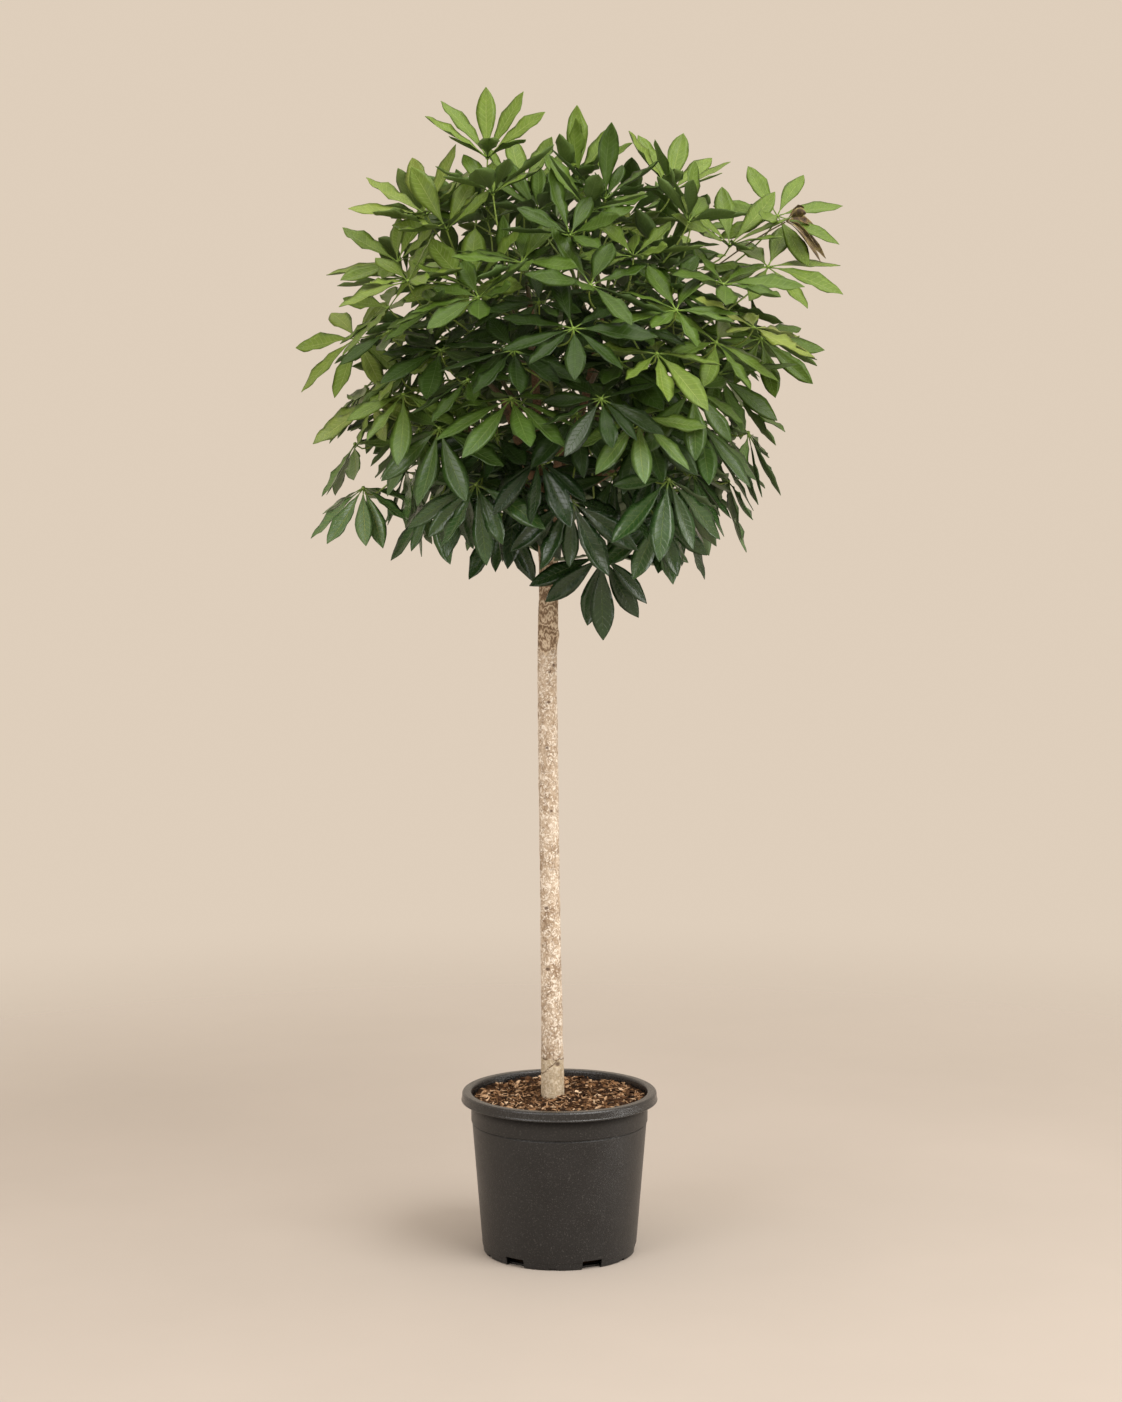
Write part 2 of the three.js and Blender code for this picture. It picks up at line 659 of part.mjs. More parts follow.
function scatterHubs() {
  const hubs = PLACED_HUBS.map(vector);
  const draw = randomSource(SCATTER.seed);
  for (let i = 0; i < SCATTER.tries; i += 1) {
    const unit = new THREE.Vector3(2 * draw() - 1, 2 * draw() - 1, 2 * draw() - 1);
    const distance = unit.length();
    if (distance > 1 || distance < SCATTER.inner || unit.z < SCATTER.lowest) continue;
    const hub = unit.multiply(vector(CROWN_REACH)).add(vector(CROWN_CENTRE));
    if (hubs.every((other) => other.distanceTo(hub) >= SCATTER.spacing)) hubs.push(hub);
  }
  return hubs;
}

function nearestShoot(shoots, hub) {
  const far = (shoot) => shoot.tip.distanceTo(hub);
  return shoots.reduce((best, shoot) => (far(shoot) < far(best) ? shoot : best));
}

// the dried leaf hangs from the live shoot nearest to it
function planWitheredLeaf(shoots) {
  const hub = vector(WITHERED.hub);
  const shoot = nearestShoot(shoots, hub);
  const root = shoot.curve.getPoint(WITHERED.rootAt);
  const leaf = { ...planLeaf(hub, -1), ...WITHERED, hub, shoot, root, name: 'withered_leaf' };
  growPetiole(leaf, (owner) => owner === shoot.name);
  return leaf;
}

function makeCrown(limbs) {
  const shoots = planShoots(limbs);
  shoots.forEach((shoot, k) => {
    shoot.name = `leafy_shoot_${String(k + 1).padStart(2, '0')}`;
  });
  shoots.forEach(growStem);
  const leaves = scatterHubs().map((place, index) => {
    const leaf = planLeaf(place, index);
    leaf.shoot = nearestShoot(shoots, place);
    leaf.name = `${leaf.shoot.name} leaf ${index}`;
    leaf.shoot.leaves.push(leaf);
    return leaf;
  });
  for (const leaf of leaves) {
    const hubRoom = new THREE.IcosahedronGeometry(HUB.room).translate(...leaf.hub.toArray());
    remember(`${leaf.name} hub`, solidOf(hubRoom));
  }
  // the leaves nearest the shoot's tip spring from its tip, and the others from lower down the stem
  for (const shoot of shoots) {
    shoot.leaves.sort((a, b) => b.hub.distanceTo(shoot.root) - a.hub.distanceTo(shoot.root));
    shoot.leaves.forEach((leaf, rank) => {
      const lower = PETIOLE.rootSpread * (rank / Math.max(shoot.leaves.length, 2));
      leaf.root = shoot.curve.getPoint(PETIOLE.highestRoot - lower);
      growPetiole(leaf, (owner) => owner.startsWith(shoot.name) && !owner.endsWith('hub'));
    });
  }
  const withered = planWitheredLeaf(shoots);
  [...leaves, withered].forEach(spreadLeaflets);
  return { shoots, withered };
}

function makeShoot(shoot, limbRoom) {
  const stem = largestPiece(shoot.solid.subtract(limbRoom));
  return shoot.leaves.reduce((solid, leaf) => solid.add(leafSolid(leaf)), stem);
}

// the dried leaf's petiole is cut where it meets the live stem, with the usual gap
function makeWitheredLeaf(leaf) {
  const points = leaf.shoot.curve.getPoints(STEM.steps);
  const radii = evenTaper(points, STEM.rootRadius + GAP, STEM.tipRadius + GAP);
  const stemRoom = taperedTube(points, radii, STEM.sides);
  return largestPiece(leafSolid(leaf).subtract(stemRoom));
}

// ---------------------------------------------------------------- the plant

const group = new THREE.Group();
const limbs = LIMB_ENDS.map(limbLine);
remember('trunk', trunkSolid(CLEARANCE));
limbs.forEach((curve, k) => remember(`limb ${k}`, limbSolid(curve, CLEARANCE)));

const { shoots, withered } = makeCrown(limbs);
const trunk = limbs.reduce((solid, curve) => solid.add(limbSolid(curve, 0)), trunkSolid(0));
const limbRoom = limbs.reduce((solid, curve) => solid.add(limbSolid(curve, GAP)), trunkSolid(GAP));

group.add(meshOf('nursery_pot', makePot(), potPlastic));
group.add(meshOf('potting_mix', makeMix(makeTrunkHole()), pottingMix));
group.add(meshOf('trunk', trunk, bark));
for (const shoot of shoots) {
  group.add(meshOf(shoot.name, makeShoot(shoot, limbRoom), leafGreen));
}
group.add(meshOf('withered_leaf', makeWitheredLeaf(withered), driedLeaf));

export default group;
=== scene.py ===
import json
import math

import bmesh
import bpy
import numpy as np
from mathutils import Matrix, Quaternion, Vector, noise
from mathutils.bvhtree import BVHTree

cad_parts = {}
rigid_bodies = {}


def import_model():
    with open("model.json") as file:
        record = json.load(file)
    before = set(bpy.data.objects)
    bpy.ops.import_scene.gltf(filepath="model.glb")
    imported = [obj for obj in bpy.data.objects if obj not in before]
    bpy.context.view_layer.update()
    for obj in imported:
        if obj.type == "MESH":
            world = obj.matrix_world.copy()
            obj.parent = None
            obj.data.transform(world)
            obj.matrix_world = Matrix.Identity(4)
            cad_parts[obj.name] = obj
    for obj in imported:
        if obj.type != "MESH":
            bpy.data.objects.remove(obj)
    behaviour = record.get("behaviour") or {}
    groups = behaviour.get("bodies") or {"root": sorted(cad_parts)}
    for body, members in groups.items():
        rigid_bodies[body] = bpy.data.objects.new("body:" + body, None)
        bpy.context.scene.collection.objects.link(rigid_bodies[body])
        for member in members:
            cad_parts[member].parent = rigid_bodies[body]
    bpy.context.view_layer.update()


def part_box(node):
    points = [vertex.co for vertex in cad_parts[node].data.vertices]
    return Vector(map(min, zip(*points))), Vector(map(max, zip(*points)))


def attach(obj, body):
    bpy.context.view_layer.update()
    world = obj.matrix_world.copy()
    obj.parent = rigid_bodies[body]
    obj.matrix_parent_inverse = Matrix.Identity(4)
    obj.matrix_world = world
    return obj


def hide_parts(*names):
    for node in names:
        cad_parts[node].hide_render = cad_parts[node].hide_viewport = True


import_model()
BODY = "root"

# ------------------------------------------------------------------ measures: pot and potting mix

POT_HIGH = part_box("nursery_pot")[1]
POT_HEIGHT = POT_HIGH.z
RIM_RADIUS = POT_HIGH.x
RIM_LIP_HEIGHT = 0.0155
RIM_INNER_RADIUS = 0.1395
COLLAR_HEIGHT = 0.0325
COLLAR_RADIUS = 0.1405
COLLAR_STEP = 0.0018
COLLAR_GROOVE = 0.0014
RIM_BEAD = 0.0009
RIM_SHOULDER = 0.0030
FOOT_RADIUS = 0.122
FOOT_STEP_HEIGHT = 0.011
FOOT_STEP = 0.0008
FOOT_HOLLOW = 0.0004
POT_WALL = 0.003
POT_SIDES = 144
# edges of the pot are rounded by this, and drawn sharp where they turn by more than this many degrees
POT_ROUNDING = 0.0009
POT_SHARP_TURN = 38
NOTCH = {"count": 6, "first": 25, "width": 0.033, "height": 0.0140, "inner": 0.110}
NICK = {"count": 6, "first": -5, "width": 0.011, "height": 0.0042, "inner": 0.117}

MIX_LEVEL = 0.2470
MIX_RADIUS = 0.1374
# humps of the mix: place, height and width. It dips in a wide ring round the trunk, and has a clump before it
MIX_HUMPS = [
    ((-0.011, 0.012), 0.0010, 0.045),
    ((-0.011, 0.012), -0.0030, 0.060),
    ((0.002, -0.013), 0.0055, 0.011),
]
# unevenness of the mix: how many lumps to a metre, their height, and where in the pattern they are taken
MIX_LUMPS = [(28, 0.0040, 0), (90, 0.0034, 3)]
# the side of the mix below its rim: radius and height
MIX_SIDE = [(0.1170, 0.030), (0.1030, 0.020), (0.1030, 0.0038)]
MIX_RINGS = 44
MIX_SIDES = 96

CHIP_FORMS = 12
CHIP_FORM_SEED = 300
# every third form is a fibre, the others are flakes, whose width is a share of the length
FIBRE_LENGTH = (0.015, 0.021)
FIBRE_WIDTH = (0.0018, 0.0028)
FIBRE_HEIGHT = 0.0013
FLAKE_LENGTH = (0.008, 0.015)
FLAKE_WIDTH_SHARE = (0.30, 0.55)
FLAKE_HEIGHT = (0.0014, 0.0028)
CHIP_BOW = 0.16
CHIP_RAGGED = 0.12
CHIP_STATIONS = 4
# corners of a chip's cross-section in halves of its width and height, and how much they vary
CHIP_CORNERS = [(-1, -0.6), (1, -1), (0.8, 0.7), (-0.7, 1)]
CHIP_WIDTH_RANGE = (0.8, 1.15)
CHIP_HEIGHT_RANGE = (0.7, 1.2)
# a chip is this narrow at least, and its taper is a sine between these shares of a half turn
CHIP_LEAST_TAPER = 0.45
CHIP_TAPER_SPAN = (0.12, 0.88)
CHIPS_PER_M2 = 43000.0
CHIP_MARGIN = 0.0045
CHIP_SEED = 5
CHIP_DRAWS = {"turn": 11, "size": 12, "form": 13, "tone": 14}
CHIP_TILT = 0.55
CHIP_SIZES = (0.38, 1.10)
# chips lie only where the mix faces up by more than this
CHIP_LEAST_FACING = 0.3

# ------------------------------------------------------------------ measures: trunk and limbs

# centre line of the trunk with its radius
TRUNK_LINE = [
    ((-0.011, 0.012, 0.116), 0.0180),
    ((-0.011, 0.012, 0.234), 0.0190),
    ((-0.011, 0.012, 0.268), 0.0190),
    ((-0.012, 0.011, 0.356), 0.0175),
    ((-0.014, 0.008, 0.506), 0.0165),
    ((-0.017, 0.004, 0.746), 0.0160),
    ((-0.019, 0.002, 0.918), 0.0155),
    ((-0.018, 0.001, 0.988), 0.0165),
    ((-0.017, 0.000, 1.072), 0.0155),
    ((-0.018, 0.000, 1.156), 0.0160),
    ((-0.018, 0.000, 1.202), 0.0180),
    ((-0.017, 0.000, 1.218), 0.0120),
]
FORK = Vector((-0.018, 0.0, 1.192))
LIMB_ENDS = [
    (-0.085, -0.055, 1.351),
    (-0.150, 0.045, 1.311),
    (0.005, -0.115, 1.296),
    (0.120, -0.070, 1.271),
    (0.160, 0.045, 1.341),
    (0.060, 0.140, 1.306),
    (-0.075, 0.145, 1.356),
    (-0.045, 0.010, 1.496),
    (0.070, -0.015, 1.486),
]
LIMB_ROOT_RADIUS = 0.010
LIMB_END_RADIUS = 0.006
# a limb runs out before it rises: share of the way done halfway along it, in X, Y and Z
LIMB_BEND = (0.5, 0.5, 0.25)
LIMB_STEPS = 16
LIMB_SIDES = 16
LIMB_THINNING = 0.7
TRUNK_STEP = 0.006
TRUNK_SIDES = 32
BARK_VOXEL = 0.0018
# relief of the bark: broad swells and fine flakes as (how many to a metre, height), and the level taken off
BARK_SWELLS = (22, 0.0007)
BARK_FLAKES = (120, 0.0007)
BARK_LEVEL = 0.0005
# radius on which scars and knots are laid out
SCAR_CIRCLE = 0.0165
# a tree sheds its lower leaves and leaves a scar at each: height, turn in degrees, radius, depth
LEAF_SCARS = [
    (0.300, 300, 0.0060, 0.0012),
    (0.453, 250, 0.0050, 0.0016),
    (0.551, 245, 0.0045, 0.0014),
    (0.706, 285, 0.0040, 0.0012),
    (0.806, 262, 0.0040, 0.0014),
    (0.878, 277, 0.0045, 0.0016),
    (0.936, 315, 0.0050, 0.0018),
    (0.626, 80, 0.0050, 0.0014),
    (0.386, 120, 0.0050, 0.0014),
    (0.866, 170, 0.0050, 0.0014),
    (1.026, 60, 0.0050, 0.0014),
]
GRAFT_HEIGHT = 0.313
KNOT = {"height": 0.984, "turn": 350, "radius": 0.009, "rise": 0.0022}

# ------------------------------------------------------------------ measures: crown

CROWN_CENTRE = Vector((0.005, 0.0, 1.391))
CROWN_REACH = Vector((0.325, 0.325, 0.315))
SHOOT_COUNT = 26
SHOOT_REACH = 0.62
SHOOT_LOWEST = -0.5
STEM_SPACING = 0.024
STEM_SAG = 0.12
STEM_ROOT_RADIUS = 0.0042
STEM_TIP_RADIUS = 0.0026
STEM_STEPS = 12
# where room is looked for, coarse tubes stand for the trunk, limbs, stems and petioles: steps and sides
COARSE_TRUNK_STEP = 0.05
COARSE_TRUNK_SIDES = 12
COARSE_LIMB = (6, 8)
COARSE_STEM = (5, 5)
COARSE_PETIOLE_SIDES = 4
# shoots grow no nearer to the fork than this share of their limb's length, which is measured in steps
LIMB_BARE_SHARE = 0.3
LIMB_MARKS = 60
STEM_BULGES = [0.012, 0.024]
PETIOLE_HIGHEST_ROOT = 0.97
PETIOLE_ROOT_SPREAD = 0.5
PETIOLE_RUN_ON = 0.25
PETIOLE_ARCH = 0.35
PETIOLE_ROOT_RADIUS = 0.0017
PETIOLE_TIP_RADIUS = 0.0012
PETIOLE_STEPS = 12
PETIOLE_BULGES = [0.010, 0.022, 0.036, 0.052, 0.070]
STALK_SIDES = 7

LEAFLET_LENGTH = 0.114
LEAFLET_WIDTH = 0.037
LEAFLET_SAG = 0.10
LEAFLET_FORMS = 12
FORM_SEED = 77
# stations along a leaflet with half its width there, as shares of the length and of half the full width
LEAFLET_OUTLINE = [
    (0.00, 0.080),
    (0.12, 0.070),
    (0.20, 0.19),
    (0.31, 0.45),
    (0.42, 0.72),
    (0.53, 0.92),
    (0.63, 1.00),
    (0.73, 0.95),
    (0.82, 0.77),
    (0.89, 0.54),
    (0.95, 0.28),
    (0.98, 0.13),
    (1.00, 0.035),
]
LEAFLET_THICKNESS = 0.0011
# half of that lies above the middle and half below, with more at the stalk and less towards the margin
STALK_THICKENING = 0.9
MARGIN_THINNING = 0.55
# where the upper face of a leaflet has its lines of points, from margin to margin
LEAFLET_COLUMNS = (-1, -0.52, 0, 0.52, 1)
LEAFLET_STALK_SHARE = 0.2
# radians of the margin's wave along a whole leaflet
MARGIN_WAVE = 19
CURL_SHORTENS = 0.35
# a coarse plate stands for a leaflet where room is looked for: stations as above, and its half breadth
PLATE_STATIONS = [(0.36, 0.52), (0.60, 0.95), (0.80, 0.93), (1.0, 0.05)]
PLATE_ROOT = (0.18, 0.25)
PLATE_BREADTH = 1.04
HUB_ROOM = 0.024
HUB_KNOB_RADIUS = 0.0036
CLEARANCE = 0.0008
# from root to tip: 1 is old and brown, 0 young and green
STEM_AGES = (1.0, 0.42)
PETIOLE_AGES = (0.40, 0.05)
WITHERED_AGE = 0.8

# leaf hubs that make the outline and the front, in millimetres, as in the solids
PLACED_HUBS = [
    # top edge, left to right
    (-250, -10, 1561), (-202, -60, 1628), (-110, -40, 1716), (-55, 40, 1674), (28, 40, 1688),
    (70, -60, 1651), (172, 0, 1668), (262, -30, 1584), (338, 10, 1633), (320, -40, 1551),
    # upper front
    (-260, -80, 1486), (-130, -190, 1506), (110, -170, 1556), (245, -150, 1516), (-175, -200, 1416),
    (-55, -240, 1541), (45, -275, 1506), (170, -260, 1471),
    # middle, left to right
    (-315, -20, 1443), (-255, -150, 1446), (-230, -215, 1351), (-65, -310, 1411), (20, -325, 1441),
    (140, -310, 1406), (230, -230, 1426), (290, -165, 1451), (310, -40, 1442),
    (-285, -90, 1341), (-75, -310, 1326), (60, -330, 1341), (115, -300, 1266), (195, -270, 1356),
    (240, -90, 1384),
    # lower middle, left to right
    (-320, 20, 1281), (-175, -250, 1301), (-30, -260, 1256), (205, -190, 1311), (200, -140, 1236),
    # hanging lower edge, left to right
    (-303, -40, 1213), (-195, -70, 1196), (-165, 50, 1241), (-65, -120, 1218), (-90, 30, 1171),
    (15, -240, 1196), (65, -110, 1111), (150, -180, 1171), (160, -250, 1226), (180, -60, 1191),
]
# leaves of the outline and the front that sit otherwise than the rule says, by their place among the hubs:
# heading, rise, cup and phase in degrees
POSED_LEAVES = {
    1: (-120, 55, 36, 120),
    2: (-90, 60, 46, 90),
    3: (-90, 66, 42, 105),
    4: (-90, 62, 48, 90),
    6: (-75, 66, 40, 45),
    7: (-80, 58, 38, 90),
    8: (-72, 38, 15, 60),
    9: (-75, 50, 16, 15),
    18: (-110, 38, 5, 170),
    26: (-78, 40, 2, 5),
    28: (-90, 62, -2, 10),
    30: (-95, 48, 4, 20),
    38: (-110, 48, 0, 190),
}
# for two of them also the droop, the leaflet length, and how far the hub stands off its place, right and up
POSED_HANG = {28: (0.22, 118, 6, 16), 30: (0.35, 105, 0, 48)}
# the fans that stand clear of the crown and have all their leaflets
FULL_FANS = {1, 2, 3, 4, 6, 7, 8, 9, 18, 26, 28, 38}
# how light the leaf is, for those that are plainly young or old: 0 is deep green, 1 is yellow-green
LEAF_TINTS = {
    0: 0.80, 2: 0.78, 3: 0.76, 4: 0.76, 6: 0.80, 7: 0.74, 8: 0.74, 9: 0.76, 10: 0.74, 11: 0.76, 12: 0.76,
    14: 0.24, 18: 0.82, 19: 0.36, 21: 0.14, 22: 0.22, 23: 0.78, 26: 0.60, 28: 0.50, 29: 0.16, 30: 0.66,
    31: 0.44, 33: 0.76, 35: 0.12, 38: 0.80,
}
SCATTER_SEED = 36
SCATTER_TRIES = 9000
SCATTER_SPACING = 0.082
SCATTER_INNER = 0.72
SCATTER_LOWEST = -0.6
LEAF_SEED = 900
# the leaves of the outline and the front lean towards the light, which comes from the front
FRONT_LEAN = 0.260
# how a leaf sits, by its height in the crown from -1 at the bottom to 1 at the top: (height, value)
RISE_BY_HEIGHT = [(-1, 12), (-0.5, 30), (0, 54), (0.5, 64), (1, 70)]
CUP_BY_HEIGHT = [(-1, -4), (-0.2, 6), (0.35, 26), (1, 42)]
DROOP_BY_HEIGHT = [(-1, 0.95), (-0.5, 0.62), (-0.2, 0.38), (0.35, 0.16), (1, 0)]
# how far a leaf strays from that, in degrees, and in its length as a share
HEADING_STRAYS = 20
RISE_STRAYS = 12
CUP_STRAYS = 7
LENGTH_STRAYS = 0.09
# a leaf has 8 leaflets, but 7 where its draw is FEWER_FROM or more, and 9 where it is MORE_FROM or more
COMMON_COUNT = 8
FEWER_FROM = 0.55
MORE_FROM = 0.8
# leaflets differ in size by these shares, and those that point back along the petiole are smaller
LARGEST_GAIN = 0.04
NATURAL_SHRINK = 0.26
POSED_SHRINK = 0.12
BACK_SHRINK = 0.20
# a leaf is lighter the higher it is and the farther out to the side, partly as younger growth and partly as
# painted light, so that the inside and middle of the crown carry painted shade; lighter the lower it is, as a
# painted sheen; lighter to the left, as a painted backlight glow; and by chance
TINT_INSIDE_PAINTED_SHADE = 0.09
TINT_ABOVE = 0.52
TINT_BELOW_PAINTED_SHEEN = 0.22
TINT_BESIDE = 0.60
TINT_LEFT_PAINTED_GLOW = 0.20
TINT_CHANCE = 0.26
YOUNG_FROM = 0.88
YOUNG_LOWEST = -0.3
YOUNG_GAIN = 0.28
LEAFLET_TINT_STRAYS = 0.06
# small leaves that fill the crown behind the others
FILL_SEED = 57
FILL_TRIES = 9000
FILL_SPACING = 0.050
FILL_INNER = 0.42
FILL_OUTER = 0.95
FILL_LOWEST = -0.62
FILL_LENGTH = 0.092
FILL_ROOM = 0.006
# the small leaves' tint is lowered by this share, as painted shade behind the others
FILL_PAINTED_SHADE = 0.8
# where on its stem a small leaf grows, from 0 at the root to 1 at the tip
FILL_ROOTS = (0.35, 0.95)
# pitch and yaw tried in turn on a leaflet that would cross another, in degrees
BENDS = [(p, y) for p in (0, 9, -9, 18, -18, 28, -28, 38) for y in (0, 8, -8)]
# how far a leaflet's pitch, yaw and roll stray from the rule, in degrees
NATURAL_SPREAD = (11, 8, 26)
POSED_SPREAD = (6, 5, 9)
WITHERED_HUB = Vector((0.350, -0.018, 1.622))
# how the dried leaf sits: the values of POSED_LEAVES, then those of POSED_HANG
WITHERED_POSE = (-15, 30, 42, 20, 0.25, 70, 0, 0)
WITHERED_ROOT_AT = 0.38
WITHERED_CURL = 0.032
WITHERED_COUNT = 6
# the most by which its leaflets are bent down and swung aside, in degrees, and their sizes as shares
WITHERED_PITCH = 20
WITHERED_YAW = 7
WITHERED_SIZES = (0.8, 1.0)


# ------------------------------------------------------------------ helpers: numbers and meshes


def lerp(low, high, share):
    return low + (high - low) * share


def value_at(height, pairs):
    """The value at a height, between the two (height, value) pairs that it lies between."""
    k = max(next(i for i, (edge, _) in enumerate(pairs) if edge >= height), 1)
    (low, low_value), (high, high_value) = pairs[k - 1], pairs[k]
    return lerp(low_value, high_value, (height - low) / (high - low))


def random_source(seed):
    """The same draws each time for the same seed, and the same as in the solids' source."""
    whole = 0xFFFFFFFF
    state = seed & whole

    def draw():
        nonlocal state
        state = (state + 0x6D2B79F5) & whole
        mixed = ((state ^ (state >> 15)) * (1 | state)) & whole
        mixed = ((mixed + (((mixed ^ (mixed >> 7)) * (61 | mixed)) & whole)) & whole) ^ mixed
        return (mixed ^ (mixed >> 14)) / (whole + 1)

    return draw


def on_circle(radius, k, sides):
    """X and Y of one of the points spread evenly round a circle."""
    turn = 2 * math.pi * k / sides
    return radius * math.cos(turn), radius * math.sin(turn)


def new_object(name, mesh):
    piece = bpy.data.objects.new(name, mesh)
    bpy.context.scene.collection.objects.link(piece)
    return piece


def mesh_from(name, points, faces, smooth=True):
    mesh = bpy.data.meshes.new(name)
    mesh.from_pydata([tuple(p) for p in points], [], faces)
    mesh.validate()
    if smooth:
        mesh.shade_smooth()
    else:
        mesh.shade_flat()
    return mesh


def face_outwards(mesh):
    bm = bmesh.new()
    bm.from_mesh(mesh)
    bmesh.ops.remove_doubles(bm, verts=bm.verts, dist=1e-6)
    bmesh.ops.recalc_face_normals(bm, faces=bm.faces)
    bm.to_mesh(mesh)
    bm.free()


def plain_mesh(piece, name):
    """Replaces a piece with modifiers by a new piece that holds their result."""
    graph = bpy.context.evaluated_depsgraph_get()
    mesh = bpy.data.meshes.new_from_object(
        piece.evaluated_get(graph), preserve_all_data_layers=True, depsgraph=graph
    )
    old = piece.data
    bpy.data.objects.remove(piece)
    if old.users == 0:
        bpy.data.meshes.remove(old)
    mesh.name = name
    return new_object(name, mesh)


def give(piece, nodes, material=None):
    """A finished piece rides on the body, stands for its CAD nodes and takes its finish from a slot."""
    if material:
        piece.data.materials.clear()
        piece.data.materials.append(material)
    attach(piece, BODY)
    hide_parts(*nodes)
    return piece


def smooth_line(points, values, spacing):
    """Points and values along a Catmull-Rom line, a given distance apart."""
    points = [Vector(p) for p in points]
    ends = [points[0] * 2 - points[1], *points, points[-1] * 2 - points[-2]]
    out_points, out_values = [], []
    for i in range(len(points) - 1):
        a, b, c, d = ends[i : i + 4]
        steps = max(int((c - b).length / spacing), 1)
        for k in range(steps):
            t = k / steps
            square, cube = 2 * a - 5 * b + 4 * c - d, 3 * b - a - 3 * c + d
            out_points.append(0.5 * (2 * b + (c - a) * t + square * t**2 + cube * t**3))
            out_values.append(lerp(values[i], values[i + 1], t * t * (3 - 2 * t)))
    return [*out_points, points[-1]], [*out_values, values[-1]]


def quadratic(a, b, c, t):
    return a * (1 - t) ** 2 + b * (2 * t * (1 - t)) + c * t**2


def cubic(a, b, c, d, t):
    return a * (1 - t) ** 3 + b * (3 * t * (1 - t) ** 2) + c * (3 * t**2 * (1 - t)) + d * t**3


def square_to(direction):
    """A direction at right angles to this one."""
    helper = Vector((0, 0, 1)) if abs(direction.z) < 0.9 else Vector((1, 0, 0))
    return helper.cross(direction).normalized()


def tube(points, radii, sides):
    """Points and faces of a closed tube through the points."""
    across = square_to((points[1] - points[0]).normalized())
    verts, faces = [], []
    for i, point in enumerate(points):
        tangent = (points[min(i + 1, len(points) - 1)] - points[max(i - 1, 0)]).normalized()
        across = (across - tangent * across.dot(tangent)).normalized()
        up = tangent.cross(across)
        for k in range(sides):
            angle = 2 * math.pi * k / sides
            verts.append(point + radii[i] * (math.cos(angle) * across + math.sin(angle) * up))
    for j in range(len(points) - 1):
        for k in range(sides):
            n = (k + 1) % sides
            faces.append((j * sides + k, j * sides + n, (j + 1) * sides + n, (j + 1) * sides + k))
    faces.append(tuple(range(sides - 1, -1, -1)))
    top = (len(points) - 1) * sides
    faces.append(tuple(range(top, top + sides)))
    return verts, faces


# ------------------------------------------------------------------ helpers: node trees


def feed(tree, socket, value):
    """Links a node's socket to another, or sets it to a value."""
    if isinstance(value, bpy.types.NodeSocket):
        tree.links.new(value, socket)
    else:
        socket.default_value = value


def node(tree, kind, inputs=None, **settings):
    """A new node with its settings and its inputs."""
    made = tree.nodes.new(kind)
    for key, value in settings.items():
        setattr(made, key, value)
    for key, value in (inputs or {}).items():
        feed(tree, made.inputs[key], value)
    return made


def result(tree, kind, inputs=None, **settings):
    """The first thing that a new node gives."""
    return node(tree, kind, inputs, **settings).outputs[0]


def maths(tree, operation, *values):
    return result(tree, "ShaderNodeMath", dict(enumerate(values)), operation=operation)


def times(tree, a, b):
    return maths(tree, "MULTIPLY", a, b)


def plus(tree, a, b):
    return maths(tree, "ADD", a, b)


def minus(tree, a, b):
    return maths(tree, "SUBTRACT", a, b)


def size_of(tree, value):
    return maths(tree, "ABSOLUTE", value)


def times_plus(tree, value, factor, more):
    return maths(tree, "MULTIPLY_ADD", value, factor, more)


def axes(tree, vector):
    """The X, Y and Z of a vector, by name."""
    return node(tree, "ShaderNodeSeparateXYZ", {"Vector": vector}).outputs


def length_of(tree, vector):
    return node(tree, "ShaderNodeVectorMath", {0: vector}, operation="LENGTH").outputs["Value"]


def colour_mix(tree, factor, a, b, blend="MIX"):
    made = node(tree, "ShaderNodeMix", {0: factor}, data_type="RGBA", blend_type=blend)
    feed(tree, made.inputs[6], a)
    feed(tree, made.inputs[7], b)
    return made.outputs[2]


def shaded(tree, colour, shade):
    """A colour darkened or lightened by a shade round 1."""
    return colour_mix(tree, 1.0, colour, shade, "MULTIPLY")


def ramp(tree, factor, stops):
    """A colour ramp with (place, colour) stops."""
    made = node(tree, "ShaderNodeValToRGB", {"Fac": factor})
    elements = made.color_ramp.elements
    while len(elements) < len(stops):
        elements.new(0.5)
    for element, (place, colour) in zip(elements, stops):
        element.position = place
        element.color = (*colour, 1)
    return made.outputs["Color"]


def span(tree, value, low, high, to_low=0.0, to_high=1.0):
    """A smooth step of a value between two marks."""
    marks = {"Value": value, "From Min": low, "From Max": high, "To Min": to_low, "To Max": to_high}
    return result(tree, "ShaderNodeMapRange", marks, interpolation_type="SMOOTHSTEP")


def grain(tree, place, scale, detail=4.0, roughness=0.55, distortion=0.0):
    inputs = {"Vector": place, "Scale": scale, "Detail": detail}
    inputs |= {"Roughness": roughness, "Distortion": distortion}
    return node(tree, "ShaderNodeTexNoise", inputs).outputs["Fac"]


def own_place(tree, scale=(1, 1, 1)):
    place = node(tree, "ShaderNodeTexCoord").outputs["Object"]
    return result(tree, "ShaderNodeMapping", {"Vector": place, "Scale": scale})


def attribute(tree, name):
    made = node(tree, "ShaderNodeAttribute", attribute_name=name, attribute_type="GEOMETRY")
    return made.outputs["Fac"]


def finish_material(name, **sockets):
    """A new material with its tree and its shader, whose own sockets are set."""
    material = bpy.data.materials.new(name)
    material.use_nodes = True
    tree = material.node_tree
    shader = tree.nodes["Principled BSDF"]
    finish(tree, shader, **sockets)
    return material, tree, shader


def finish(tree, shader, **sockets):
    """Links or sets sockets of the shader, each named with underscores for spaces."""
    for key, value in sockets.items():
        feed(tree, shader.inputs[key.replace("_", " ")], value)


def roughen(tree, shader, height, distance, strength=1.0):
    bump = node(tree, "ShaderNodeBump", {"Height": height, "Distance": distance, "Strength": strength})
    finish(tree, shader, Normal=bump.outputs["Normal"])
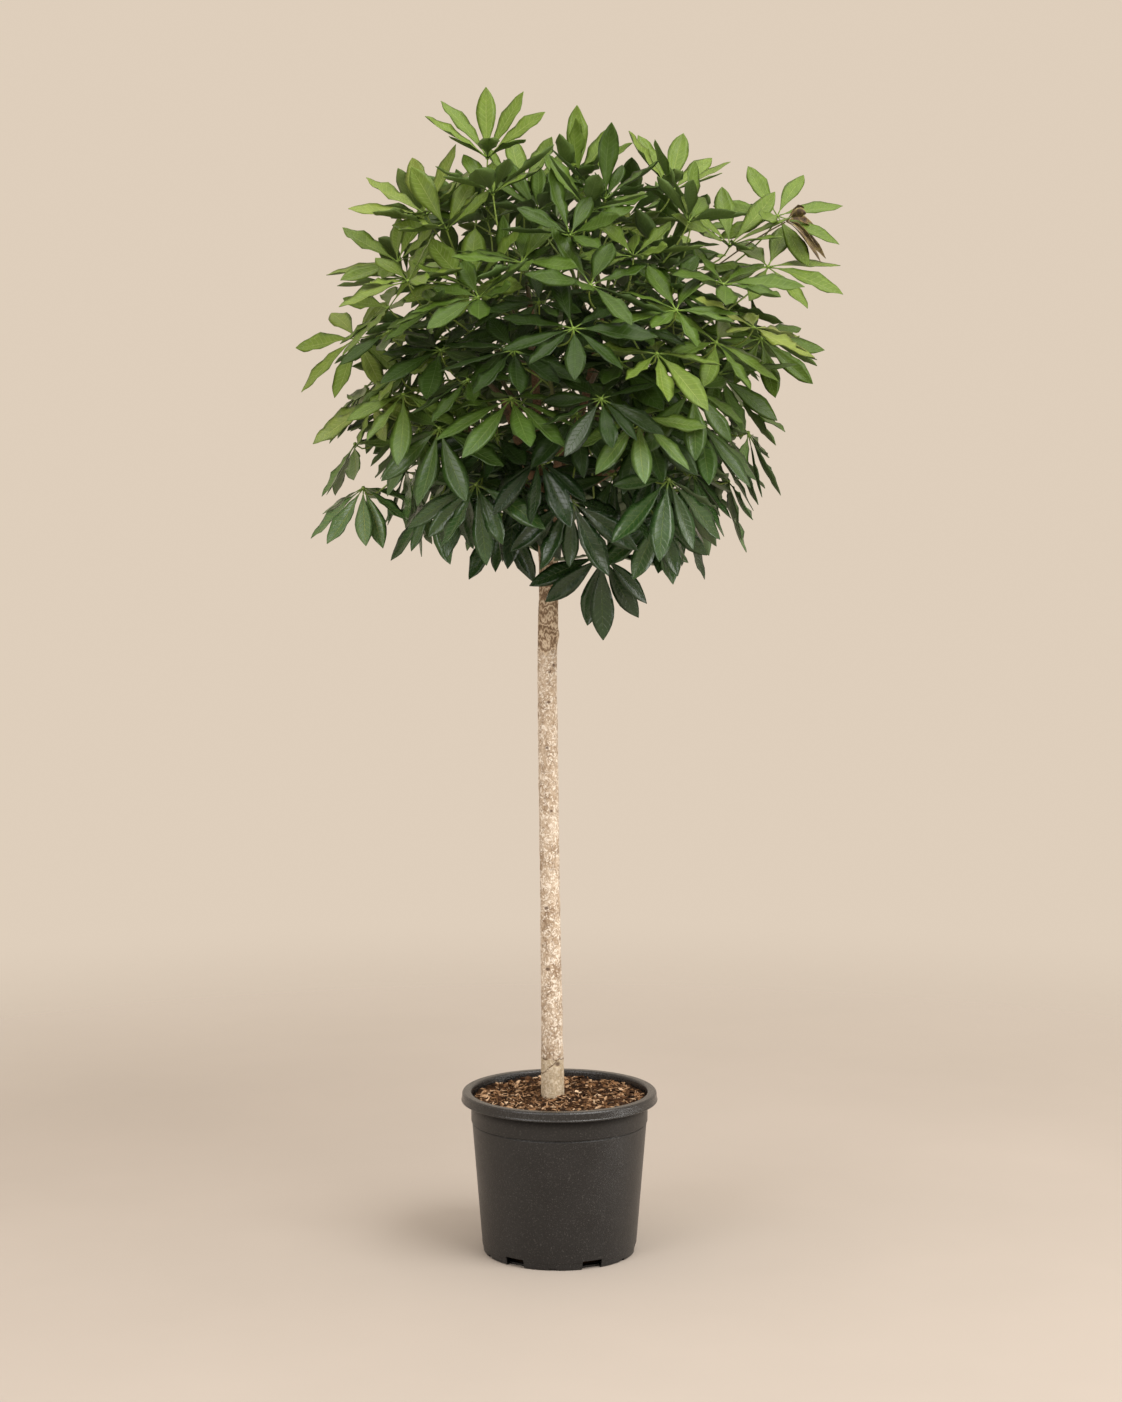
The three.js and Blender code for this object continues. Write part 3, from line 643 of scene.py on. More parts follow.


# ------------------------------------------------------------------ materials: pot and potting mix

# height of the blend from wall to rim, and of the painted shade under the lip
LIP_BLEND = 0.0005
LIP_PAINTED_SHADE = 0.018
MOULDED_TONES = [(0.3, (0.0065, 0.0065, 0.0070)), (0.7, (0.0115, 0.0115, 0.0120))]
POT_DUST = (0.085, 0.082, 0.080, 1)
# colour of the painted shade under the lip
POT_PAINTED_SHADE = (0.003, 0.003, 0.003, 1)


def pot_plastic():
    """Charcoal moulded plastic: dusty and grained on the wall, smoother on the rim, with painted shade under
    the lip.
    """
    material, tree, shader = finish_material("pot_plastic")
    place = own_place(tree)
    height = axes(tree, place)["Z"]
    lip_bottom = POT_HEIGHT - RIM_LIP_HEIGHT
    rim = span(tree, height, lip_bottom - LIP_BLEND, lip_bottom + LIP_BLEND)
    below_rim = minus(tree, 1.0, rim)
    # painted shade: just under the lip the wall is darkened in colour, where the lip shades it
    painted_lip_shade = times(tree, span(tree, height, lip_bottom - LIP_PAINTED_SHADE, lip_bottom), below_rim)
    patches = grain(tree, place, 18, 5)
    dust = span(tree, grain(tree, place, 430, 3, 0.7), 0.54, 0.72, 0, 0.7)
    dusted = colour_mix(tree, dust, ramp(tree, patches, MOULDED_TONES), POT_DUST)
    rough = span(tree, patches, 0.2, 0.8, 0.33, 0.42)
    # the reflection is also weakened under the lip, as painted shade
    sheen = times_plus(tree, painted_lip_shade, -0.44, 0.52)
    finish(
        tree,
        shader,
        Base_Color=colour_mix(tree, times(tree, painted_lip_shade, 0.7), dusted, POT_PAINTED_SHADE),
        Roughness=times_plus(tree, rim, -0.15, rough),
        Specular_IOR_Level=times_plus(tree, rim, 0.12, sheen),
    )
    roughen(tree, shader, grain(tree, place, 520, 3, 0.6), 0.0007, 0.8)
    return material


def mix_bed():
    """Dark damp peat between the chips."""
    material, tree, shader = finish_material("potting_mix_bed", Roughness=0.95, Specular_IOR_Level=0.1)
    crumbs = grain(tree, own_place(tree), 220, 6, 0.7)
    tone = ramp(tree, crumbs, [(0.3, (0.006, 0.003, 0.001)), (0.62, (0.045, 0.022, 0.010))])
    finish(tree, shader, Base_Color=tone)
    roughen(tree, shader, crumbs, 0.002)
    return material


CHIP_TONES = [
    (0.0, (0.014, 0.006, 0.002)),
    (0.35, (0.072, 0.032, 0.012)),
    (0.65, (0.25, 0.135, 0.062)),
    (0.88, (0.52, 0.34, 0.20)),
    (0.985, (0.72, 0.53, 0.36)),
    (1.0, (0.95, 0.76, 0.54)),
]


def mix_chips():
    """Brown bark chips and fibres, each with its own tone."""
    material, tree, shader = finish_material("potting_mix_chips", Roughness=0.85, Specular_IOR_Level=0.2)
    fibres = grain(tree, own_place(tree), 400, 5, 0.65)
    shade = ramp(tree, fibres, [(0.32, (0.36, 0.33, 0.30)), (0.68, (1.22, 1.18, 1.14))])
    tone = ramp(tree, attribute(tree, "chip_tone"), CHIP_TONES)
    finish(tree, shader, Base_Color=shaded(tree, tone, shade))
    roughen(tree, shader, fibres, 0.0008)
    return material


# ------------------------------------------------------------------ materials: bark

# the pattern of the bark is drawn out along the trunk
BARK_STRETCH = (1, 1, 0.55)
PALE_BARK = [
    (0.34, (0.33, 0.235, 0.155)),
    (0.46, (0.52, 0.41, 0.30)),
    (0.58, (0.60, 0.49, 0.375)),
    (0.70, (0.72, 0.62, 0.50)),
]
BARK_SPECK = (0.30, 0.20, 0.125, 1)
BARK_FLAKE = (0.93, 0.86, 0.76, 1)
BARK_NET = (0.20, 0.125, 0.075, 1)
BARK_PIT = (0.075, 0.042, 0.024, 1)
SMOOTH_BARK = [(0.3, (0.40, 0.32, 0.20)), (0.7, (0.66, 0.565, 0.41))]
GRAFT_CRACK = (0.12, 0.070, 0.038, 1)
# how far the graft's edge wanders, and how the crack that runs down from it slopes and where it starts
GRAFT_WANDER = 0.012
GRAFT_SLOPE = -0.92
GRAFT_CRACK_RISE = 0.0027
YOUNG_BARK = [
    (0.3, (0.19, 0.125, 0.075)),
    (0.5, (0.36, 0.255, 0.165)),
    (0.64, (0.50, 0.385, 0.27)),
    (0.78, (0.74, 0.62, 0.47)),
]
# heights between which the old bark gives way to the young, and the young to the limbs' bark
YOUNG_BARK_FROM = (1.004, 1.016)
LIMB_BARK_FROM = (1.12, 1.24)
LIMB_BARK = [(0.35, (0.12, 0.068, 0.038)), (0.65, (0.33, 0.21, 0.125))]
SCAR_TONE = (0.10, 0.055, 0.032, 1)


def old_bark(tree, stretched, patches, specks, flakes, pits):
    """Pale mottled bark with dark specks, white flakes, a net of cracks and pits."""
    pale = ramp(tree, patches, PALE_BARK)
    speckled = colour_mix(tree, span(tree, specks, 0.52, 0.64, 0, 0.7), pale, BARK_SPECK)
    flaked = colour_mix(tree, span(tree, flakes, 0.515, 0.555, 0, 0.9), speckled, BARK_FLAKE)
    cells = {"Vector": stretched, "Scale": 130.0, "Randomness": 1.0}
    to_edge = node(tree, "ShaderNodeTexVoronoi", cells, feature="DISTANCE_TO_EDGE").outputs["Distance"]
    net = times(tree, span(tree, to_edge, 0.09, 0.02), span(tree, patches, 0.62, 0.44))
    netted = colour_mix(tree, times(tree, net, 0.55), flaked, BARK_NET)
    return colour_mix(tree, pits, netted, BARK_PIT)


def graft_bark(tree, place, above, patches, flakes):
    """Below the old graft the bark is smoother, with a crack round it and one that runs down to the left."""
    parts = axes(tree, place)
    graft = times_plus(tree, patches, GRAFT_WANDER, minus(tree, parts["Z"], GRAFT_HEIGHT))
    below = span(tree, graft, 0.0005, -0.0005)
    smoother = colour_mix(tree, times(tree, below, 0.72), above, ramp(tree, flakes, SMOOTH_BARK))
    round_crack = span(tree, size_of(tree, graft), 0.0016, 0.0006)
    slanted = minus(tree, times_plus(tree, parts["X"], GRAFT_SLOPE, graft), GRAFT_CRACK_RISE)
    down_crack = times(tree, span(tree, size_of(tree, slanted), 0.0014, 0.0005), below)
    broken = span(tree, grain(tree, place, 90, 2), 0.40, 0.50)
    crack = times(tree, maths(tree, "MAXIMUM", round_crack, down_crack), broken)
    return colour_mix(tree, times(tree, crack, 0.85), smoother, GRAFT_CRACK)


def young_bark(tree, stretched, patches):
    """The younger wood under the crown, with a wavy brown net."""
    inputs = {"Vector": stretched, "Scale": 46.0, "Distortion": 16.0, "Detail": 5.0, "Detail Scale": 2.2}
    waves = node(tree, "ShaderNodeTexWave", inputs, bands_direction="Z").outputs["Fac"]
    return ramp(tree, plus(tree, times(tree, waves, 0.45), times(tree, patches, 0.6)), YOUNG_BARK)


def bark():
    """Pale mottled bark on the clear trunk, darker and browner towards the crown."""
    material, tree, shader = finish_material("bark", Roughness=0.86, Specular_IOR_Level=0.3)
    place, stretched = own_place(tree), own_place(tree, BARK_STRETCH)
    height = axes(tree, place)["Z"]
    patches = grain(tree, stretched, 48, 5, 0.62, 0.8)
    specks = grain(tree, place, 420, 5, 0.7)
    flakes = grain(tree, place, 150, 5, 0.62, 1.6)
    pits = span(tree, grain(tree, place, 95, 3, 0.6), 0.31, 0.26, 0, 0.9)
    old = old_bark(tree, stretched, patches, specks, flakes, pits)
    grafted = graft_bark(tree, place, old, patches, flakes)
    scarred = colour_mix(tree, span(tree, attribute(tree, "scar"), 0.25, 0.85, 0, 0.85), grafted, SCAR_TONE)
    wavering = plus(tree, height, times(tree, patches, 0.10))
    upper = span(tree, wavering, *YOUNG_BARK_FROM)
    clear = colour_mix(tree, upper, scarred, young_bark(tree, stretched, patches))
    limb = span(tree, height, *LIMB_BARK_FROM)
    finish(tree, shader, Base_Color=colour_mix(tree, limb, clear, ramp(tree, specks, LIMB_BARK)))
    roughness = plus(tree, flakes, times(tree, specks, 0.6))
    roughen(tree, shader, plus(tree, roughness, times(tree, pits, -0.8)), 0.0013)
    return material


# ------------------------------------------------------------------ materials: leaves

BLADE_TONES = [
    (0.0, (0.009, 0.021, 0.004)),
    (0.3, (0.027, 0.057, 0.007)),
    (0.55, (0.064, 0.117, 0.014)),
    (0.8, (0.124, 0.190, 0.028)),
    (1.0, (0.215, 0.265, 0.052)),
]
VEIN_TONES = [
    (0.0, (0.022, 0.042, 0.014)),
    (0.3, (0.060, 0.105, 0.024)),
    (0.6, (0.150, 0.230, 0.050)),
    (1.0, (0.36, 0.42, 0.12)),
]
# low in the crown, between these heights, the leaves turn deeper green and glossier, with a painted bluish
# sheen in their colour
LOW_LEAVES = (1.36, 1.16)
DEEP_GREEN_PAINTED_SHEEN = (0.66, 0.88, 1.7, 1)
LEAFLET_STALK = (0.20, 0.31, 0.055, 1)
UNDER_SIDE = (0.105, 0.165, 0.065, 1)
SIDE_VEINS = 13
SIDE_VEIN_SLANT = 0.13


def leaf_blade():
    """Glossy leaflets: deep green with a painted bluish sheen low in the crown, brighter on top by their
    tint, which carries painted light and shade, with pale midribs and side veins.
    """
    material, tree, shader = finish_material("leaf_blade")
    place = own_place(tree)
    tint, along, under = (attribute(tree, name) for name in ("tint", "along", "under"))
    across = size_of(tree, attribute(tree, "across"))
    low = span(tree, axes(tree, place)["Z"], *LOW_LEAVES)
    base = ramp(tree, tint, BLADE_TONES)
    # low in the crown the green is deepened and given a painted bluish sheen of reflected sky
    base = colour_mix(tree, low, base, shaded(tree, base, DEEP_GREEN_PAINTED_SHEEN))
    mottle = grain(tree, place, 70, 4, 0.6)
    mottled = shaded(tree, base, ramp(tree, mottle, [(0.25, (0.78, 0.80, 0.78)), (0.75, (1.18, 1.15, 1.12))]))
    # side veins leave the midrib at a slant and fade before the margin
    slant = minus(tree, along, times(tree, across, SIDE_VEIN_SLANT))
    vein_wave = maths(tree, "SINE", times(tree, slant, 2 * math.pi * SIDE_VEINS))
    veins = times(tree, span(tree, vein_wave, 0.80, 1.0), span(tree, across, 0.95, 0.55))
    vein_tone = ramp(tree, tint, VEIN_TONES)
    veined = colour_mix(tree, times(tree, veins, 0.40), mottled, vein_tone)
    rib_width = times_plus(tree, along, -0.035, 0.068)
    rib = span(tree, maths(tree, "DIVIDE", across, rib_width), 1.0, 0.45)
    ribbed = colour_mix(tree, times(tree, rib, 0.85), veined, vein_tone)
    stalk = span(tree, along, 0.17, 0.09)
    stalked = colour_mix(tree, times(tree, stalk, 0.85), ribbed, LEAFLET_STALK)
    pale = colour_mix(tree, 0.45, stalked, UNDER_SIDE)
    gloss = times_plus(tree, mottle, 0.16, times_plus(tree, low, -0.08, 0.27))
    finish(
        tree,
        shader,
        Base_Color=colour_mix(tree, under, stalked, pale),
        Specular_IOR_Level=times_plus(tree, low, 0.4, 0.2),
        Roughness=times_plus(tree, under, 0.22, gloss),
    )
    relief = plus(tree, times(tree, veins, -0.5), times(tree, rib, -0.8))
    roughen(tree, shader, plus(tree, relief, times(tree, mottle, 0.6)), 0.0005)
    return material


STALK_TONES = [
    (0.0, (0.27, 0.38, 0.070)),
    (0.45, (0.13, 0.20, 0.040)),
    (0.75, (0.12, 0.105, 0.045)),
    (1.0, (0.13, 0.080, 0.045)),
]


def leaf_stalk():
    """Yellow-green petioles that turn brown where the stem is old."""
    material, tree, shader = finish_material("leaf_stalk", Roughness=0.45)
    fleck = grain(tree, own_place(tree), 350, 3)
    shade = ramp(tree, fleck, [(0.3, (0.72, 0.70, 0.66)), (0.7, (1.15, 1.15, 1.12))])
    finish(tree, shader, Base_Color=shaded(tree, ramp(tree, attribute(tree, "age"), STALK_TONES), shade))
    roughen(tree, shader, fleck, 0.0003)
    return material


DRIED_TONES = [
    (0.3, (0.018, 0.010, 0.005)),
    (0.46, (0.060, 0.034, 0.012)),
    (0.6, (0.15, 0.105, 0.030)),
    (0.72, (0.27, 0.25, 0.075)),
]
DRIED_MARGIN = (0.34, 0.27, 0.10, 1)


def dried_leaf():
    """The withered leaf: crisp, curled and brown with paler margins."""
    material, tree, shader = finish_material("dried_leaf", Roughness=0.7)
    place = own_place(tree)
    tone = ramp(tree, grain(tree, place, 90, 5, 0.65), DRIED_TONES)
    margin = span(tree, size_of(tree, attribute(tree, "across")), 0.55, 1.0, 0, 0.65)
    finish(tree, shader, Base_Color=colour_mix(tree, margin, tone, DRIED_MARGIN))
    roughen(tree, shader, grain(tree, place, 380, 4), 0.0008)
    return material


def floor_finish():
    """Pale plaster that fades into the studio's own colour away from the plant."""
    material, tree, shader = finish_material("pale_floor", Roughness=0.9, Specular_IOR_Level=0.2)
    place = own_place(tree)
    clouds = grain(tree, place, 1.3, 4)
    tone = ramp(tree, clouds, [(0.3, (0.448, 0.402, 0.358)), (0.7, (0.478, 0.428, 0.382))])
    finish(tree, shader, Base_Color=tone, Alpha=span(tree, length_of(tree, place), *FLOOR_FADE, 1, 0))
    return material


# ------------------------------------------------------------------ pot


def rounded(profile, radius, steps=3):
    """The (r, z) profile with its inner corners rounded off."""
    out = [profile[0]]
    for before, corner, after in zip(profile, profile[1:], profile[2:]):
        corner = Vector(corner)
        to_before, to_after = Vector(before) - corner, Vector(after) - corner
        cut = min(radius, to_before.length * 0.45, to_after.length * 0.45)
        first, last = corner + to_before.normalized() * cut, corner + to_after.normalized() * cut
        for k in range(steps + 1):
            t = k / steps
            point = quadratic(first, corner, last, t)
            out.append((point.x, point.y))
    out.append(profile[-1])
    return out


def lathe(name, profile, sides):
    """A closed mesh turned from an (r, z) profile that starts and ends on the axis."""
    points, faces = [], []
    for r, z in profile:
        if r < 1e-9:
            points.append((0, 0, z))
            continue
        points += [(*on_circle(r, k, sides), z) for k in range(sides)]
    starts, place = [], 0
    for r, _ in profile:
        starts.append((place, r < 1e-9))
        place += 1 if r < 1e-9 else sides
    for (a, a_pole), (b, b_pole) in zip(starts, starts[1:]):
        for k in range(sides):
            n = (k + 1) % sides
            if a_pole:
                faces.append((a, b + n, b + k))
            elif b_pole:
                faces.append((a + k, a + n, b))
            else:
                faces.append((a + k, a + n, b + n, b + k))
    mesh = mesh_from(name, points, faces)
    face_outwards(mesh)
    return mesh


def foot_cutters():
    """Boxes that open the drainage notches and the small nicks between them."""
    points, faces = [], []
    for cut in (NOTCH, NICK):
        for k in range(cut["count"]):
            turn = Matrix.Rotation(math.radians(cut["first"] + 360 * k / cut["count"] - 90), 3, "Z")
            start = len(points)
            for x in (cut["inner"], RIM_RADIUS):
                for y in (-cut["width"] / 2, cut["width"] / 2):
                    for z in (-cut["height"], cut["height"]):
                        points.append(turn @ Vector((x, y, z)))
            corners = [(0, 1, 3, 2), (4, 6, 7, 5), (0, 4, 5, 1), (2, 3, 7, 6), (0, 2, 6, 4), (1, 5, 7, 3)]
            faces += [tuple(start + c for c in face) for face in corners]
    return mesh_from("foot_cutters", points, faces, smooth=False)


def make_pot():
    """The pot is turned from its outline: along the foot, up the wall, over the rim and down the inside."""
    lip_bottom = POT_HEIGHT - RIM_LIP_HEIGHT
    collar_bottom = lip_bottom - COLLAR_HEIGHT

    def wall(level):
        return lerp(FOOT_RADIUS, COLLAR_RADIUS - COLLAR_STEP, level / collar_bottom)

    tucked = COLLAR_RADIUS - COLLAR_STEP
    profile = [
        (0, FOOT_HOLLOW),
        (FOOT_RADIUS - 2 * FOOT_STEP - 0.0015, 0.0),
        (FOOT_RADIUS - FOOT_STEP, 0.002),
        (wall(FOOT_STEP_HEIGHT) - FOOT_STEP, FOOT_STEP_HEIGHT),
        (wall(FOOT_STEP_HEIGHT + 0.001), FOOT_STEP_HEIGHT + 0.0008),
        (tucked, collar_bottom - 0.0030),
        (tucked - COLLAR_GROOVE, collar_bottom - 0.0018),
        (tucked - COLLAR_GROOVE, collar_bottom - 0.0004),
        (COLLAR_RADIUS - 0.0002, collar_bottom + 0.0004),
        (COLLAR_RADIUS, lip_bottom),
        (RIM_RADIUS - 0.0012, lip_bottom),
        (RIM_RADIUS, lip_bottom + 0.0009),
        (RIM_RADIUS, lip_bottom + 0.0023),
        (RIM_RADIUS - RIM_BEAD, lip_bottom + 0.0036),
        (RIM_RADIUS - RIM_BEAD - 0.0004, POT_HEIGHT - RIM_SHOULDER),
        (RIM_RADIUS - RIM_BEAD - 0.0014, POT_HEIGHT - 0.4 * RIM_SHOULDER),
        (RIM_RADIUS - RIM_BEAD - RIM_SHOULDER, POT_HEIGHT),
        (RIM_INNER_RADIUS + 0.0030, POT_HEIGHT),
        (RIM_INNER_RADIUS + 0.0008, POT_HEIGHT - 0.0012),
        (RIM_INNER_RADIUS, POT_HEIGHT - 0.0040),
        (COLLAR_RADIUS - POT_WALL + 0.0006, lip_bottom - 0.002),
        (FOOT_RADIUS - POT_WALL, POT_WALL),
        (0, POT_WALL),
    ]
    pot = new_object("pot_body", lathe("pot_body", rounded(profile, POT_ROUNDING), POT_SIDES))
    cutters = new_object("foot_cutters", foot_cutters())
    cut = pot.modifiers.new("notches", "BOOLEAN")
    cut.object, cut.operation, cut.solver = cutters, "DIFFERENCE", "EXACT"
    pot = plain_mesh(pot, "pot_body")
    bpy.data.objects.remove(cutters)
    pot.data.set_sharp_from_angle(angle=math.radians(POT_SHARP_TURN))
    return give(pot, ["nursery_pot"], pot_plastic())


# ------------------------------------------------------------------ potting mix


def chip_form(index):
    """One bark chip or fibre: a bent flake with ragged ends."""
    draw = random_source(CHIP_FORM_SEED + index)

    def between(low, high):
        return lerp(low, high, draw())

    fibre = index % 3 == 0
    length = between(*FIBRE_LENGTH) if fibre else between(*FLAKE_LENGTH)
    width = between(*FIBRE_WIDTH) if fibre else length * between(*FLAKE_WIDTH_SHARE)
    height = FIBRE_HEIGHT if fibre else between(*FLAKE_HEIGHT)
    bow = between(-CHIP_BOW, CHIP_BOW) * length
    points, faces = [], []
    for i in range(CHIP_STATIONS):
        s = i / (CHIP_STATIONS - 1)
        taper = lerp(CHIP_LEAST_TAPER, 1.0, math.sin(math.pi * lerp(*CHIP_TAPER_SPAN, s)))
        for y, z in CHIP_CORNERS:
            points.append((
                (s - 0.5) * length + (draw() - 0.5) * CHIP_RAGGED * length,
                y * width / 2 * taper * between(*CHIP_WIDTH_RANGE),
                z * height / 2 * taper * between(*CHIP_HEIGHT_RANGE) + bow * math.sin(math.pi * s),
            ))
    for i in range(CHIP_STATIONS - 1):
        for k in range(4):
            n = (k + 1) % 4
            faces.append((4 * i + k, 4 * i + n, 4 * i + 4 + n, 4 * i + 4 + k))
    faces += [(3, 2, 1, 0), tuple(4 * (CHIP_STATIONS - 1) + k for k in range(4))]
    mesh = mesh_from(f"chip_{index:02d}", points, faces, smooth=False)
    face_outwards(mesh)
    return mesh


def forms_collection(name, meshes):
    """A collection that is not shown, whose pieces a tree picks by number."""
    group = bpy.data.collections.new(name)
    for mesh in meshes:
        group.objects.link(bpy.data.objects.new(mesh.name, mesh))
    return group


def drop_forms(group):
    for form in list(group.objects):
        mesh = form.data
        bpy.data.objects.remove(form)
        bpy.data.meshes.remove(mesh)
    bpy.data.collections.remove(group)


def named(tree, data_type, name):
    return result(tree, "GeometryNodeInputNamedAttribute", {"Name": name}, data_type=data_type)


def new_tree(name, *inputs):
    """A geometry tree with named inputs, and its input and output nodes."""
    tree = bpy.data.node_groups.new(name, "GeometryNodeTree")
    tree.interface.new_socket("Geometry", in_out="INPUT", socket_type="NodeSocketGeometry")
    for label, kind in inputs:
        tree.interface.new_socket(label, in_out="INPUT", socket_type=kind)
    tree.interface.new_socket("Geometry", in_out="OUTPUT", socket_type="NodeSocketGeometry")
    return tree, node(tree, "NodeGroupInput").outputs, node(tree, "NodeGroupOutput").inputs


def grow(piece, tree, **values):
    """Runs a tree on a piece with its inputs set by name, and returns the plain result."""
    modifier = piece.modifiers.new(tree.name, "NODES")
    modifier.node_group = tree
    sockets = {item.name: item.identifier for item in tree.interface.items_tree if item.in_out == "INPUT"}
    for label, value in values.items():
        modifier[sockets[label.replace("_", " ")]] = value
    return plain_mesh(piece, piece.name)


# for each kind of random value: the inputs of its two limits, and its output
CHANCE_SOCKETS = {"FLOAT_VECTOR": (0, 1, 0), "FLOAT": (2, 3, 1), "INT": (4, 5, 2)}


def by_chance(tree, kind, low, high, seed):
    low_at, high_at, given_at = CHANCE_SOCKETS[kind]
    inputs = {low_at: low, high_at: high, "Seed": seed}
    return node(tree, "FunctionNodeRandomValue", inputs, data_type=kind).outputs[given_at]


def compared(tree, a, operation, b):
    return result(tree, "FunctionNodeCompare", {0: a, 1: b}, operation=operation)


def forms_from(tree, collection):
    inputs = {"Collection": collection, "Separate Children": True, "Reset Children": True}
    return result(tree, "GeometryNodeCollectionInfo", inputs)


def faced(tree, geometry, material):
    return result(tree, "GeometryNodeSetMaterial", {"Geometry": geometry, "Material": material})


def joined(tree, *parts):
    made = node(tree, "GeometryNodeJoinGeometry")
    for part in parts:
        tree.links.new(part, made.inputs[0])
    return made.outputs[0]


def chips_tree():
    """Scatters chips over the top of the bed, each with its own form, size, turn and tone."""
    tree, given, out = new_tree(
        "bark_chips",
        ("Chips", "NodeSocketCollection"),
        ("Chips per square metre", "NodeSocketFloat"),
        ("Outer radius", "NodeSocketFloat"),
        ("Seed", "NodeSocketInt"),
        ("Bed material", "NodeSocketMaterial"),
        ("Chip material", "NodeSocketMaterial"),
    )
    place = axes(tree, result(tree, "GeometryNodeInputPosition"))
    flat = result(tree, "ShaderNodeCombineXYZ", {"X": place["X"], "Y": place["Y"]})
    inside = compared(tree, length_of(tree, flat), "LESS_THAN", given["Outer radius"])
    facing = axes(tree, result(tree, "GeometryNodeInputNormal"))["Z"]
    upward = compared(tree, facing, "GREATER_THAN", CHIP_LEAST_FACING)
    scattered = result(
        tree,
        "GeometryNodeDistributePointsOnFaces",
        {
            "Mesh": given["Geometry"],
            "Selection": result(tree, "FunctionNodeBooleanMath", {0: inside, 1: upward}, operation="AND"),
            "Density": given["Chips per square metre"],
            "Seed": given["Seed"],
        },
    )
    least_turn, most_turn = (-CHIP_TILT, -CHIP_TILT, 0.0), (CHIP_TILT, CHIP_TILT, 2 * math.pi)
    placed = result(
        tree,
        "GeometryNodeInstanceOnPoints",
        {
            "Points": scattered,
            "Instance": forms_from(tree, given["Chips"]),
            "Pick Instance": True,
            "Instance Index": by_chance(tree, "INT", 0, CHIP_FORMS - 1, CHIP_DRAWS["form"]),
            "Rotation": by_chance(tree, "FLOAT_VECTOR", least_turn, most_turn, CHIP_DRAWS["turn"]),
            "Scale": by_chance(tree, "FLOAT", *CHIP_SIZES, CHIP_DRAWS["size"]),
        },
    )
    tone = by_chance(tree, "FLOAT", 0.0, 1.0, CHIP_DRAWS["tone"])
    toned = result(
        tree,
        "GeometryNodeStoreNamedAttribute",
        {"Geometry": placed, "Name": "chip_tone", "Value": tone},
        data_type="FLOAT",
        domain="INSTANCE",
    )
    chips = result(tree, "GeometryNodeRealizeInstances", {"Geometry": toned})
    chips = faced(tree, chips, given["Chip material"])
    bed = faced(tree, given["Geometry"], given["Bed material"])
    tree.links.new(joined(tree, chips, bed), out["Geometry"])
    return tree


def mix_height(x, y):
    """The surface of the mix: uneven all over, with its humps and dips."""
    height = MIX_LEVEL
    for scale, rise, layer in MIX_LUMPS:
        height += rise * noise.noise(Vector((x, y, layer)) * scale)
    for (at_x, at_y), rise, width in MIX_HUMPS:
        height += rise * math.exp(-(((x - at_x) ** 2 + (y - at_y) ** 2) / width**2))
    return height


def make_mix():
    """A bed of rings of points, one side down to the foot, with chips scattered over its top."""
    points = [(0, 0, mix_height(0, 0))]
    for i in range(1, MIX_RINGS + 1):
        r = MIX_RADIUS * i / MIX_RINGS
        for k in range(MIX_SIDES):
            x, y = on_circle(r, k, MIX_SIDES)
            points.append((x, y, mix_height(x, y)))
    # the side follows the pot's wall down, and stands back from the notches in its foot
    for r, z in MIX_SIDE:
        points += [(*on_circle(r, k, MIX_SIDES), z) for k in range(MIX_SIDES)]
    points.append((0, 0, MIX_SIDE[-1][1]))
    faces = [(0, 1 + k, 1 + (k + 1) % MIX_SIDES) for k in range(MIX_SIDES)]
    rings = MIX_RINGS + len(MIX_SIDE)
    for i in range(rings - 1):
        start = 1 + i * MIX_SIDES
        for k in range(MIX_SIDES):
            n = (k + 1) % MIX_SIDES
            faces.append((start + k, start + MIX_SIDES + k, start + MIX_SIDES + n, start + n))
    last = 1 + (rings - 1) * MIX_SIDES
    faces += [(last + k, len(points) - 1, last + (k + 1) % MIX_SIDES) for k in range(MIX_SIDES)]
    mesh = mesh_from("potting_mix_heap", points, faces)
    face_outwards(mesh)
    chips = forms_collection("chip_forms", [chip_form(i) for i in range(CHIP_FORMS)])
    heap = grow(
        new_object("potting_mix_heap", mesh),
        chips_tree(),
        Chips=chips,
        Chips_per_square_metre=CHIPS_PER_M2,
        Outer_radius=MIX_RADIUS - CHIP_MARGIN,
        Seed=CHIP_SEED,
        Bed_material=mix_bed(),
        Chip_material=mix_chips(),
    )
    drop_forms(chips)
    return give(heap, ["potting_mix"])


# ------------------------------------------------------------------ trunk


def limb_point(end, t):
    span_to = end - FORK
    bend = FORK + Vector([share * way for share, way in zip(LIMB_BEND, span_to)])
    return quadratic(FORK, bend, end, t)


def bark_relief(point, normal):
    """How far the bark stands out at a point, and how much of a scar it is."""
    stretched = Vector((point.x, point.y, point.z * 0.5))
    swell = noise.noise(stretched * BARK_SWELLS[0]) * BARK_SWELLS[1]
    flakes = noise.turbulence(stretched * BARK_FLAKES[0], 3, False) * BARK_FLAKES[1]
    relief = swell + flakes - BARK_LEVEL
    turn = math.degrees(math.atan2(normal.y, normal.x)) % 360

    def away_from(height, mark_turn, size, squeeze=1.0):
        """Distance from a mark on the bark, in radii of the mark."""
        beside = math.radians((turn - mark_turn + 180) % 360 - 180) * SCAR_CIRCLE
        return math.hypot(beside, (point.z - height) * squeeze) / size

    scar = 0.0
    for height, scar_turn, size, depth in LEAF_SCARS:
        if abs(point.z - height) < 3 * size:
            away = away_from(height, scar_turn, size, 1.5)
            # a pit with a raised ring
            relief += -depth * math.exp(-(away**2)) + 0.5 * depth * math.exp(-((away - 1.3) ** 2) * 6)
            scar = max(scar, math.exp(-(away**2)))
    if abs(point.z - KNOT["height"]) < 3 * KNOT["radius"]:
        away = away_from(KNOT["height"], KNOT["turn"], KNOT["radius"])
        relief += KNOT["rise"] * math.exp(-(away**2))
    return relief, scar


